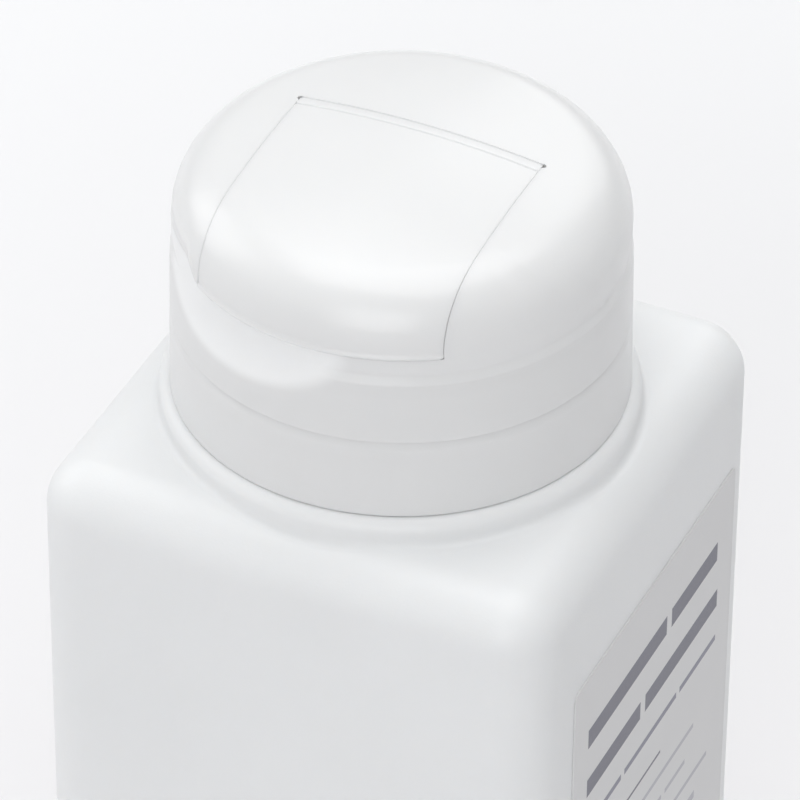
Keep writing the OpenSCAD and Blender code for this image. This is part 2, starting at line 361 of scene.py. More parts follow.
@dataclass(frozen=True)
class Dome:
    """The cap's domed top as a turned surface: a wide crown arc, an edge arc and an upright wall.

    A place on it is a length down from the top, along the surface, and a plan angle.
    """

    apex_z: float
    inset: float = 0.0
    wall_r: float = 29.45
    edge_r: float = 8.5
    crown_r: float = 130.0

    @property
    def edge_x(self) -> float:
        """Distance from the axis to the edge arc's centre."""
        return self.wall_r - self.edge_r

    @property
    def crown_z(self) -> float:
        """Height of the crown arc's centre."""
        return self.apex_z - self.crown_r

    @property
    def turn(self) -> float:
        """Angle at which the crown arc runs into the edge arc."""
        return math.asin(self.edge_x / (self.crown_r - self.edge_r))

    @property
    def edge_z(self) -> float:
        """Height of the edge arc's centre."""
        return self.crown_z + (self.crown_r - self.edge_r) * math.cos(self.turn)

    @property
    def crown_length(self) -> float:
        """Length of the crown arc from the top."""
        return (self.crown_r - self.inset) * self.turn

    @property
    def arc_length(self) -> float:
        """Length from the top to where the wall begins."""
        return self.crown_length + (self.edge_r - self.inset) * (QUARTER - self.turn)

    def section(self, length: np.ndarray) -> tuple[np.ndarray, np.ndarray, np.ndarray]:
        """Gives the surface at lengths down from the top.

        Args:
            length: The lengths.

        Returns:
            The radius, the height and the normal's angle from upright.
        """
        length = np.asarray(length, float)
        crown, edge = self.crown_r - self.inset, self.edge_r - self.inset
        lean = np.where(length < self.crown_length, length / crown,
                        np.minimum(self.turn + (length - self.crown_length) / edge, QUARTER))
        on_crown = length < self.crown_length
        arc = np.where(on_crown, crown, edge)
        radius = np.where(on_crown, 0, self.edge_x) + arc * np.sin(lean)
        height = np.where(on_crown, self.crown_z, self.edge_z) + arc * np.cos(lean)
        return radius, height - np.maximum(length - self.arc_length, 0), lean

    def length_at(self, radius: np.ndarray, height: np.ndarray) -> np.ndarray:
        """Finds the length of the place nearest to given points.

        Args:
            radius: Their distances from the axis.
            height: Their heights.

        Returns:
            The lengths down from the top.
        """
        radius, height = np.broadcast_arrays(np.asarray(radius, float), np.asarray(height, float))
        crown_lean = np.arctan2(radius, height - self.crown_z)
        edge_lean = np.arctan2(radius - self.edge_x, height - self.edge_z)
        on_edge = self.crown_length + (self.edge_r - self.inset) * (edge_lean - self.turn)
        on_wall = self.arc_length + self.edge_z - height
        length = np.where(crown_lean < self.turn, (self.crown_r - self.inset) * crown_lean, on_edge)
        return np.where((height < self.edge_z) & (radius > self.edge_x), on_wall, length)

    def place(self, length: np.ndarray, angle: np.ndarray) -> tuple[np.ndarray, np.ndarray]:
        """Gives points and outward normals of the surface.

        Args:
            length: Lengths down from the top.
            angle: Plan angles.

        Returns:
            The points and the normals.
        """
        radius, height, lean = self.section(length)
        return around(radius, angle, height), around(np.sin(lean), angle, np.cos(lean))

    def over(self, x: np.ndarray, y: np.ndarray) -> tuple[np.ndarray, np.ndarray]:
        """Gives points and normals of the surface over places in the plan.

        Args:
            x: Their places along X.
            y: Their places along Y.

        Returns:
            The points and the normals.
        """
        radius = np.hypot(x, y)
        edge = self.edge_r - self.inset
        on_edge = self.edge_z + np.sqrt(np.maximum(edge ** 2 - (radius - self.edge_x) ** 2, 0))
        on_crown = self.crown_z + np.sqrt((self.crown_r - self.inset) ** 2 - radius ** 2)
        height = np.where(np.arctan2(radius, on_crown - self.crown_z) < self.turn, on_crown, on_edge)
        return self.place(self.length_at(radius, height), np.arctan2(x, -y))

    def find(self, points: np.ndarray) -> np.ndarray:
        """Finds the places nearest to points.

        Args:
            points: Rows of x, y and z.

        Returns:
            Rows of a length down from the top and a plan angle.
        """
        radius, angle = np.hypot(points[:, 0], points[:, 1]), np.arctan2(points[:, 0], -points[:, 1])
        return np.stack([self.length_at(radius, points[:, 2]), angle], axis=1)


@dataclass(frozen=True)
class Scoop:
    """The shallow bite for a finger, cut into the cap's outside by a large turned ring."""

    sill_z: float
    outer_r: float = 29.65
    turn: float = math.radians(24)
    half_angle: float = math.radians(37)
    depth: float = 1.2
    height: float = 9.0
    runout: float = 4.0
    rise: float = 2.9
    fade: float = 0.4
    slope: float = 1.1
    crease: float = 0.12
    corner_angle: float = math.radians(-35.5)
    corner_blend: float = 0.14
    end_blend: float = 0.1
    ridge: float = 0.22
    ridge_up: float = 0.5
    ridge_half: float = 0.45
    # Heights under the roof over which the scoop's painted light comes in beside the flap.
    lit: tuple[float, float] = (0.2, 2.2)

    def beside(self, angle: np.ndarray) -> np.ndarray:
        """Gives 1 at plan angles beside the flap and 0 under it."""
        return rise(self.corner_angle, self.corner_angle - self.corner_blend, angle)

    def roof(self, angle: np.ndarray) -> tuple[np.ndarray, np.ndarray]:
        """Gives the height of the scoop's roof at plan angles, and the height over which it slopes."""
        beside = self.beside(angle)
        return self.sill_z + self.rise * beside, self.fade + self.slope * beside

    def bed(self, angle: np.ndarray, height: np.ndarray) -> np.ndarray:
        """Gives the radius that the scoop leaves standing.

        Args:
            angle: Plan angles.
            height: Heights.

        Returns:
            The radii, which are large where the scoop doesn't reach.
        """
        bed_r = self.outer_r - self.depth
        chord = self.outer_r * math.cos(self.half_angle)
        offset = (self.outer_r ** 2 - bed_r ** 2) / (2 * (bed_r - chord))
        curve_r = (self.height ** 2 + self.depth ** 2) / (2 * self.depth)
        below = np.clip(self.sill_z - height, 0, 0.8 * curve_r)
        ring = bed_r + offset + curve_r - np.sqrt(curve_r ** 2 - below ** 2)
        top, slope = self.roof(angle)
        ring = ring + self.outer_r * rise(top, top + self.runout, height)
        ring = ring + self.depth * rise(top + self.fade - slope, top + self.fade, height)
        from_middle = angle + self.turn
        return np.sqrt(ring ** 2 - (offset * np.sin(from_middle)) ** 2) - offset * np.cos(from_middle)

    def painted_light_share(self, points: np.ndarray) -> np.ndarray:
        """Gives the painted light where the scoop thins the wall; a band under the roof beside the flap is
        left out and stays as painted shade.

        Args:
            points: Rows of points, x, y and z last.

        Returns:
            Shares from 0, the whole wall, to 1, inside the scoop.
        """
        x, y, z = points[..., 0], points[..., 1], points[..., 2]
        angle = np.arctan2(x, -y)
        bitten = rise(-0.05, 0.3 * self.depth, self.outer_r - self.bed(angle, z))
        top, _ = self.roof(angle)
        lit = rise(top - self.lit[0], top - self.lit[1], z)
        # Painted light in the scoop, left out of the band just under the roof beside the flap.
        return np.where(y < 0, bitten * (1 - self.beside(angle) * (1 - lit)), 0)

    def bite(self, points: np.ndarray, keep: np.ndarray) -> np.ndarray:
        """Moves outside points of the cap in to the scoop's bed.

        Args:
            points: Rows of points, x, y and z last.
            keep: From 0 to 1, how far a point keeps its x and moves along y alone.

        Returns:
            The moved points.
        """
        x, y, z = points[..., 0], points[..., 1], points[..., 2]
        radius = np.hypot(x, y)
        angle = np.arctan2(x, -y)
        cut = soft_least(radius, self.bed(angle, z), self.crease)
        top, _ = self.roof(angle)
        ends = (self.half_angle + self.end_blend, self.half_angle - self.end_blend)
        reach = rise(*ends, np.abs(angle + self.turn))
        reach = reach * rise(self.corner_angle + 0.05, self.corner_angle - 0.02, angle)
        above = z - top - self.fade - self.ridge_up
        raised = self.ridge * np.exp(-(above / self.ridge_half) ** 2) * reach
        cut = np.where(y < 0, cut + raised, radius)
        straight_y = -np.sqrt(np.maximum(cut ** 2 - x ** 2, 0))
        straight = np.stack([x, np.where(cut > np.abs(x), straight_y, y), z], axis=-1)
        straight = np.where((cut != radius)[..., None], straight, points)
        keep = np.asarray(keep)[..., None]
        return around(cut, angle, z) * (1 - keep) + straight * keep


@dataclass
class WindowEdge:
    """The edge of the cap's window, one place per column of its net.

    The places are lengths down the dome and plan angles: edge is the corner line itself, outer is
    where its rounding ends on the outside, guide is a smoother line a little further out, and inner
    is where the cut meets the inside.
    """

    edge: np.ndarray
    outer: np.ndarray
    guide: np.ndarray
    inner: np.ndarray
    ring: np.ndarray
    keep: np.ndarray

    def both_sides(self) -> "WindowEdge":
        """Adds the mirrored half.

        Returns:
            The whole edge.
        """
        turned = np.array([1.0, -1.0])
        parts = (self.edge, self.outer, self.guide, self.inner)
        places = [np.concatenate([part, part[-2:0:-1] * turned]) for part in parts]
        ring = np.concatenate([self.ring, -self.ring[-2:0:-1]])
        return WindowEdge(*places, ring, np.concatenate([self.keep, self.keep[-2:0:-1]]))


@dataclass
class ScrewCap:
    """The cap: a dome with a window for the flap, on a threaded skirt."""

    dome: Dome
    scoop: Scoop
    foot_z: float
    sill_z: float
    foot_r: float = 30.0
    skirt_top_r: float = 29.65
    bore_r: float = 27.8
    ledge_z: float = 155.7
    groove_z: float = 145.5
    groove_depth: float = 0.3
    waist: float = 0.26
    waist_fade: float = 1.3
    flare: tuple = ((0, 0), (0.15, 0.06), (1.25, 0.88), (1.4, 0.94), (3.0, 1))
    groove: tuple = ((-1.5, 0), (-0.4, 0.75), (-0.1, 1), (0.06, 0))
    wall: float = 1.8
    window_half: float = 17.0
    window_back: float = 5.75
    relief_y: float = 5.5
    relief_r: float = 0.42
    relief_blend: float = 1.95
    relief_span: tuple[float, float] = (math.radians(-35), math.radians(125))
    lip_r: float = 0.05
    foot_round: float = 0.2
    bore_round: float = 0.3
    bead_z: float = 156.0
    bead_r: float = 0.5
    thread_z: float = 143.65
    ring_z: float = 156.3
    guide_gap: float = 1.1
    sill_columns: int = 70
    corner_columns: int = 7
    upright_columns: int = 45
    side_columns: int = 40
    rear_columns: int = 30
    guide_rows: int = 9
    surface_rows: int = 56
    dome_rows: int = 16

    @property
    def inside(self) -> Dome:
        """The dome's inner surface."""
        return Dome(self.dome.apex_z, self.wall)

    @property
    def turn_y(self) -> float:
        """Where the window's side line begins to turn into the hole at the hinge."""
        return self.relief_y - self.relief_blend * self.relief_r

    @property
    def turn_x(self) -> float:
        """Where the window's back line begins to turn into the hole at the hinge."""
        return self.window_half - self.relief_blend * self.relief_r

    def window_plan(self) -> np.ndarray:
        """Draws the window's plan line over the crown, from its right side to the back's middle.

        Returns:
            Rows of x and y.
        """
        half, back, y0, r = self.window_half, self.window_back, self.relief_y, self.relief_r
        turns = np.linspace(*self.relief_span, 13)
        hole = np.stack([half + r * np.cos(turns), y0 + r * np.sin(turns)], axis=1)
        start, end = np.array([half, self.turn_y]), np.array([self.turn_x, back])
        side_turn = curve_through(start, np.array([half, y0 - 0.8 * r]), hole[0], 6)[:, 0]
        back_turn = curve_through(hole[-1], np.array([half - r, back]), end, 6)[:, 0]
        crown_y = -math.sqrt(self.dome.edge_x ** 2 - half ** 2)
        side = [[half, y] for y in np.linspace(crown_y, self.turn_y, self.side_columns)]
        rear = [[x, back] for x in np.linspace(self.turn_x, 0, self.rear_columns)]
        return np.concatenate([side, side_turn[1:], hole[1:], back_turn[1:], rear[1:]])

    def guide_plan(self, plan: np.ndarray) -> np.ndarray:
        """Draws the guide line outside the window's plan line, with a plain round corner at the hole.

        Args:
            plan: The window's plan line.

        Returns:
            As many points on the guide line.
        """
        gap, start, end = self.guide_gap, self.turn_y, self.turn_x
        made = plan + np.where(plan[:, 1:] < start + SAME, [gap, 0], [0, gap])
        turning = (plan[:, 1] > start + SAME) & (plan[:, 0] > end + SAME)
        turn = np.linspace(0, QUARTER, int(turning.sum()) + 2)[1:-1]
        made[turning, 0] = end + (self.window_half + gap - end) * np.cos(turn)
        made[turning, 1] = start + (self.window_back + gap - start) * np.sin(turn)
        return made

    def edge_above(self, sill_length: float) -> tuple[np.ndarray, ...]:
        """Works out the window's edge above its lower corner: up the side and along the back.

        Args:
            sill_length: The length down the dome to the sill.

        Returns:
            The points of the corner line and of the outer, the guide and the inner line.
        """
        dome, half = self.dome, self.window_half
        lengths = np.linspace(sill_length - 0.2, dome.crown_length, self.upright_columns + 1)[:-1]
        radius, height, _ = dome.section(lengths)
        upright_y = -np.sqrt(radius ** 2 - half ** 2)
        upright = np.stack([np.full(len(lengths), half), upright_y, height], axis=1)
        upright_normal = dome.place(lengths, np.arctan2(half, -upright_y))[1]
        plan = self.window_plan()
        over, over_normal = dome.over(plan[:, 0], plan[:, 1])
        points = np.concatenate([upright, over])
        normals = np.concatenate([upright_normal, over_normal])
        heading = unit(np.gradient(plan, axis=0))
        away = np.stack([heading[:, 1], -heading[:, 0], np.zeros(len(plan))], axis=1)
        away = np.concatenate([np.tile([1.0, 0, 0], (len(upright), 1)), away])
        dot = np.sum(away * normals, axis=1)[:, None]
        outward = unit(away - dot * normals)
        guided = points + outward * self.guide_gap
        guide_plan = self.guide_plan(plan)
        at_back = plan[:, 1] > self.turn_y + SAME
        guided[len(upright):][at_back] = dome.over(guide_plan[:, 0], guide_plan[:, 1])[0][at_back]
        down = unit(dot * away - normals)
        deep = points + down * self.wall / -np.sum(down * normals, axis=1)[:, None]
        return points, points + outward * self.lip_r, guided, deep

    def window_edge(self) -> WindowEdge:
        """Works out the window's edge, from the sill's middle up the right side to the back's middle.

        Returns:
            The edge of both sides.
        """
        dome, inside, lip, gap = self.dome, self.inside, self.lip_r, self.guide_gap
        sill = float(dome.length_at(dome.wall_r, self.sill_z))
        sill_in = float(inside.length_at(dome.wall_r - self.wall, self.sill_z))
        corner = math.asin(self.window_half / dome.wall_r)
        corner_in = math.asin(self.window_half / self.bore_r)
        along = np.linspace(0, corner, self.sill_columns, endpoint=False)
        along = np.append(along, np.full(self.corner_columns, corner))
        sweep = np.append(np.zeros(self.sill_columns), np.linspace(0, QUARTER, self.corner_columns))
        down, aside = np.cos(sweep), np.sin(sweep) / dome.wall_r
        below = [(sill, along), (sill + lip * down, along + lip * aside),
                 (sill + gap * down, along + gap * aside), (sill_in, along * corner_in / corner)]
        below = [np.stack(np.broadcast_arrays(*pair), axis=1) for pair in below]
        points, out, guided, deep = self.edge_above(sill)
        above = (dome.find(points), dome.find(out), dome.find(guided), inside.find(deep))
        edge, outer, guide, inner = (np.concatenate(pair) for pair in zip(below, above))
        keep = np.append((along / corner) ** 6, np.ones(len(points)))
        return WindowEdge(edge, outer, guide, inner, self.ring_angles(edge, guide), keep).both_sides()

    def ring_angles(self, edge: np.ndarray, guide: np.ndarray) -> np.ndarray:
        """Spreads the columns over the ring below the window, partly by length and partly by angle.

        Args:
            edge: The places of the window's corner line.
            guide: The places of the guide line.

        Returns:
            The plan angle of each column on the ring.
        """
        places = self.dome.place(guide[:, 0], guide[:, 1])[0]
        step = np.linalg.norm(np.diff(places, axis=0), axis=1)
        turned = np.maximum(np.diff(np.maximum.accumulate(guide[:, 1])), 0)
        step[:self.sill_columns - 1] = 0
        turned[:self.sill_columns - 1] = 0
        start = edge[self.sill_columns - 1, 1]
        share = 0.65 * np.cumsum(step) / step.sum() + 0.35 * np.cumsum(turned) / turned.sum()
        ring = np.append(start, start + (math.pi - start) * share)
        ring[:self.sill_columns] = edge[:self.sill_columns, 1]
        return ring

    def skirt_radius(self, height: np.ndarray) -> np.ndarray:
        """Gives the outside below the dome: the ledge, the shallow waist, the groove and the draft.

        Args:
            height: Heights, from the ring below the window down.

        Returns:
            The radii.
        """
        share = (height - self.foot_z) / (self.ledge_z - self.foot_z)
        skirt = self.foot_r + (self.skirt_top_r - self.foot_r) * share
        below = self.ledge_z - height
        flare = np.interp(below, *zip(*self.flare))
        radius = self.dome.wall_r + (skirt - self.dome.wall_r) * flare
        waist = np.where(below > 0, 1 - flare, np.exp(-(below / self.waist_fade) ** 2))
        groove = np.interp(height - self.groove_z, *zip(*self.groove))
        return radius - self.waist * waist - self.groove_depth * groove

    def outside_rings(self, ring: np.ndarray) -> list[np.ndarray]:
        """Makes the rows of the skirt's outside, from the ring below the window to the foot.

        Args:
            ring: The plan angle of each column.

        Returns:
            The rows of points.
        """
        ledge, groove, soft = self.ledge_z, self.groove_z, self.foot_round
        fine = [0.15, 0.08, 0.03, -0.02, -0.07, -0.12, -0.2, -0.3, -0.5, -0.8, -1.1, -1.4, -1.7]
        heights = np.concatenate([
            np.linspace(self.ring_z - 0.1, ledge - 1.7, 20),
            np.linspace(ledge - 2, groove + 2.4, 18),
            np.linspace(groove + 2.0, groove + 0.3, 5),
            groove + np.array(fine),
            np.linspace(groove - 2.4, self.foot_z + soft, 8),
        ])
        free = np.zeros(len(ring))
        rows = [self.scoop.bite(around(self.skirt_radius(z), ring, z), free) for z in heights]
        for sin, cos in quarter_turn(6)[1:]:
            rows.append(around(self.foot_r - soft + soft * cos, ring, self.foot_z + soft - soft * sin))
        return rows

    def inside_rings(self, ring: np.ndarray) -> list[np.ndarray]:
        """Makes the rows of the skirt's bore, from the foot up past the bead.

        Args:
            ring: The plan angle of each column.

        Returns:
            The rows of points.
        """
        soft, bead = self.bore_round, self.bead_r
        rows = []
        for sin, cos in quarter_turn(5):
            rows.append(around(self.bore_r + soft - soft * sin, ring, self.foot_z + soft - soft * cos))
        rows += [around(self.bore_r, ring, z) for z in np.linspace(self.foot_z + 2, self.bead_z - 0.7, 9)]
        for turn in np.linspace(-QUARTER, QUARTER, 9):
            height = self.bead_z + bead * math.sin(turn)
            rows.append(around(self.bore_r - bead * math.cos(turn), ring, height))
        return rows

    def inside_place(self, places: np.ndarray) -> np.ndarray:
        """Gives points of the inside, where the bore is a little wider than the dome's inside.

        Args:
            places: Rows of a length down the dome's inside and a plan angle.

        Returns:
            The points.
        """
        points = self.inside.place(places[..., 0], places[..., 1])[0]
        wider = self.bore_r - (self.dome.wall_r - self.wall)
        radius = np.hypot(points[..., 0], points[..., 1])
        grow = wider * rise(self.sill_z + 1, self.sill_z, points[..., 2])
        points[..., :2] *= ((radius + grow) / radius)[..., None]
        return points

    def outside_place(self, places: np.ndarray, keep: np.ndarray) -> np.ndarray:
        """Gives points of the dome's outside, with the waist and the scoop in them.

        Args:
            places: Rows of a length down the dome and a plan angle.
            keep: From 0 to 1, how far the scoop leaves a point's x alone.

        Returns:
            The points.
        """
        points = self.dome.place(places[:, 0], places[:, 1])[0]
        waist = self.dome.wall_r - self.skirt_radius(points[:, 2])
        radius = np.hypot(points[:, 0], points[:, 1])
        near = points[:, 2] < self.ledge_z + 3
        points[:, :2] *= np.where(near, (radius - waist) / radius, 1)[:, None]
        return self.scoop.bite(points, keep)

    def draw(self) -> Draft:
        """Draws the cap as one closed net of loops around the window, with the thread in its bore.

        Returns:
            The drawn mesh.
        """
        side = self.window_edge()
        edge = self.scoop.bite(self.dome.place(side.edge[:, 0], side.edge[:, 1])[0], side.keep)
        outer = self.scoop.bite(self.dome.place(side.outer[:, 0], side.outer[:, 1])[0], side.keep)
        inner = self.inside_place(side.inner)
        start = edge + unit(inner - edge) * self.lip_r
        rows = list(curve_through(start, edge, outer, 6))

        ring_length = float(self.dome.length_at(self.dome.wall_r, self.ring_z))
        ring = np.stack([np.full(len(side.ring), ring_length), side.ring], axis=1)
        for share in np.linspace(0, 1, self.guide_rows + 1)[1:]:
            rows.append(self.outside_place(side.outer + (side.guide - side.outer) * share, side.keep))
        for share in np.linspace(0, 1, self.surface_rows + 1)[1:]:
            places = side.guide + (ring - side.guide) * share
            rows.append(self.outside_place(places, side.keep * (1 - share) ** 2))
        rows += self.outside_rings(side.ring)
        rows += self.inside_rings(side.ring)

        bore_length = float(self.inside.length_at(self.bore_r, self.bead_z + self.bead_r + 0.2))
        low = np.stack([np.full(len(side.ring), bore_length), side.ring], axis=1)
        for share in np.linspace(0, 1, self.dome_rows):
            rows.append(self.inside_place(low + (side.inner - low) * share))
        rows += [inner + (start - inner) * share for share in (0.15, 0.85)]
        draft = Draft("cap_shell")
        draft.add_rows(np.stack(rows), loop=True, closed=True)
        Thread(self.bore_r, False, self.thread_z).draw(draft)
        # The share of painted light in the scoop, which the cap's material paints paler.
        draft.thin = self.scoop.painted_light_share(np.array(draft.points))
        return draft


@dataclass
class FlipFlap:
    """The flap: a plate that follows the dome, with a hinge strip behind and a sealing rim below."""

    dome: Dome
    front_z: float
    rim_z: float
    half_w: float = 16.995
    back_y: float = 5.5
    wall: float = 1.6
    strip_w: float = 1.4
    strip_t: float = 0.7
    line_depth: float = 0.22
    line_half: float = 0.17
    lip_r: float = 0.04
    bead: float = 0.2
    bead_at: float = 0.42
    bead_half: float = 0.32
    back_lip_r: float = 0.1
    under_lip_r: float = 0.15
    corner_r: float = 0.6
    rim_line: float = 14.8
    rim_back: float = 2.1
    rim_half: float = 0.6
    rim_front: float = -23.9
    rim_turn_r: float = 1.0
    rim_inset: float = 1.2
    columns: int = 70
    front_rows: int = 32
    back_rows: int = 50
    close: tuple = (0, 0.02, 0.05, 0.09, 0.14, 0.22, 0.32, 0.45, 0.6, 0.75)
    near_line: tuple = (0.045, 0.09, 0.14, 0.2, 0.3, 0.5)
    tail: tuple = (0.6, 0.4, 0.25, 0.15, 0.1, 0.06, 0.03, 0)

    def plan(self) -> tuple[np.ndarray, ...]:
        """Lays out the plate's net, with closer lines along its edges and at the hinge.

        Returns:
            Points, normals, distances to the front or side edge, to the back edge and to the front edge.
        """
        dome = self.dome
        edge = np.array(self.close)
        middle = np.linspace(0.9 - self.half_w, self.half_w - 0.9, self.columns)
        x = np.concatenate([edge - self.half_w, middle, (self.half_w - edge)[::-1]])
        front = float(dome.length_at(dome.wall_r, self.front_z))
        reach = front - dome.crown_length
        down = np.concatenate([edge, [0.9, 1.05, 1.2, 1.35], np.linspace(1.6, reach, self.front_rows)])
        x_net, down_net = np.meshgrid(x, down)
        from_side = self.half_w - np.abs(x_net)
        p = np.maximum(self.corner_r - from_side, 0)
        q = np.maximum(self.corner_r - down_net, 0)
        pull = corner_pull(p, q)
        in_corner = (p > 0) & (q > 0)
        from_side = np.where(in_corner, self.corner_r - p * pull, from_side)
        from_front = np.where(in_corner, self.corner_r - q * pull, down_net)
        x_net = np.sign(x_net) * (self.half_w - from_side)
        near_edge = np.minimum(from_side, down_net)
        near_edge = np.where(in_corner, self.corner_r - np.maximum(p, q), near_edge)
        radius = dome.section(front - from_front)[0]
        y_net = -np.sqrt(np.maximum(radius ** 2 - x_net ** 2, 0))
        points, normals = dome.place(front - from_front, np.arctan2(x_net, -y_net))

        near_line = np.array(self.near_line)
        fine = self.back_y - self.strip_w + np.concatenate([-near_line[::-1], [0], near_line])
        lines = np.append(fine, self.back_y - np.array(self.tail))
        crown_y = -np.sqrt(dome.edge_x ** 2 - x ** 2)
        steps = np.linspace(0, 1, self.back_rows)[1:, None]
        plain = crown_y + (fine[0] - 0.3 - crown_y) * steps
        y_back = np.concatenate([plain, np.repeat(lines[:, None], len(x), axis=1)])
        x_back = np.broadcast_to(x, y_back.shape)
        more, more_normals = dome.over(x_back, y_back)
        points = np.concatenate([points, more])
        normals = np.concatenate([normals, more_normals])
        near_edge = np.concatenate([near_edge, self.half_w - np.abs(x_back)])
        near_front = np.concatenate([from_front, np.full(x_back.shape, reach)])
        return points, normals, near_edge, self.back_y - points[..., 1], near_front

    def skin(self, draft: Draft) -> None:
        """Adds the plate, with rounded edges and the fine line in front of its hinge strip.

        Args:
            draft: The flap's mesh.
        """
        points, normals, near_edge, near_back, near_front = self.plan()
        round_off = quarter_drop(self.lip_r, near_edge)
        back_off = quarter_drop(self.back_lip_r, near_back)
        from_line = np.abs(near_back - self.strip_w)
        line = self.line_depth * np.clip(1 - from_line / self.line_half, 0, 1) ** 0.7
        drop = np.maximum(np.maximum(round_off, back_off), line)
        drop = drop - self.bead * np.exp(-((near_front - self.bead_at) / self.bead_half) ** 2)
        thinner = rise(self.strip_w + 0.2, self.strip_w - 0.2, near_back)
        thick = self.wall + (self.strip_t - self.wall) * thinner
        under = thick - quarter_drop(self.under_lip_r, np.minimum(near_edge, near_back))
        edge = edge_numbers(*drop.shape)
        rim_points, rim_normals = points.reshape(-1, 3)[edge], normals.reshape(-1, 3)[edge]
        high, low = drop.ravel()[edge], under.ravel()[edge]
        sides = [rim_points - rim_normals * (high + (low - high) * share)[:, None]
                 for share in (0.1, 0.9)]
        draft.add_shell(points - normals * drop[..., None], sides, points - normals * under[..., None])

    def rim(self, draft: Draft) -> None:
        """Adds the sealing rim: a wall along three sides that stands down from the plate.

        Args:
            draft: The flap's mesh.
        """
        line, back, turn_r = self.rim_line, self.rim_back, self.rim_turn_r
        centre_x, centre_y = line - turn_r, back - turn_r
        right = [[line, y] for y in np.linspace(self.rim_front, centre_y, 40)]
        right += [[centre_x + turn_r * cos, centre_y + turn_r * sin] for sin, cos in quarter_turn(7)[1:]]
        rear = [[x, back] for x in np.linspace(centre_x, -centre_x, 30)[1:-1]]
        path = np.array(right + rear + [[-x, y] for x, y in right[::-1]])
        heading = unit(np.gradient(path, axis=0))
        away = np.stack([heading[:, 1], -heading[:, 0]], axis=1)
        under_plate = Dome(self.dome.apex_z, self.rim_inset)
        section = [(1, None), (1, 0.3), (0.9, 0.08), (0.62, 0)]
        section += [(-out, height) for out, height in section[::-1]]
        rows = []
        for out, height in section:
            plan = path + away * self.rim_half * out
            level = under_plate.over(plan[:, 0], plan[:, 1])[0][:, 2]
            if height is not None:
                level[:] = self.rim_z + height
            rows.append(np.column_stack([plan, level]))
        draft.add_tube(np.stack(rows, axis=1))

    def draw(self) -> Draft:
        """Draws the flap's plate and its rim.

        Returns:
            The drawn mesh.
        """
        draft = Draft("flap_lid")
        self.skin(draft)
        self.rim(draft)
        return draft


def quarter_drop(radius: float, distance: np.ndarray) -> np.ndarray:
    """Gives how far a rounded edge lies under the flat face, at distances in from the edge."""
    left = np.clip(radius - distance, 0, radius)
    return radius - np.sqrt(radius ** 2 - left ** 2)


@dataclass
class HingeWeb:
    """The thin strip of plastic across the gap behind the flap."""

    dome: Dome
    half_w: float = 16.9
    front_y: float = 5.1
    back_y: float = 6.1
    top_inset: float = 0.08
    foot_inset: float = 0.55
    still_y: float = 5.78
    swung_y: float = 5.47

    def draw(self) -> Draft:
        """Draws the strip as a thin closed plate.

        Returns:
            The drawn mesh.
        """
        across = np.linspace(-self.half_w, self.half_w, 60)
        x, y = np.meshgrid(across, np.linspace(self.front_y, self.back_y, 21))
        points, normals = self.dome.over(x, y)
        edge = edge_numbers(*x.shape)
        middle = (self.top_inset + self.foot_inset) / 2
        side = points.reshape(-1, 3)[edge] - normals.reshape(-1, 3)[edge] * middle
        draft = Draft("hinge_web")
        draft.add_shell(points - normals * self.top_inset, [side], points - normals * self.foot_inset)
        return draft


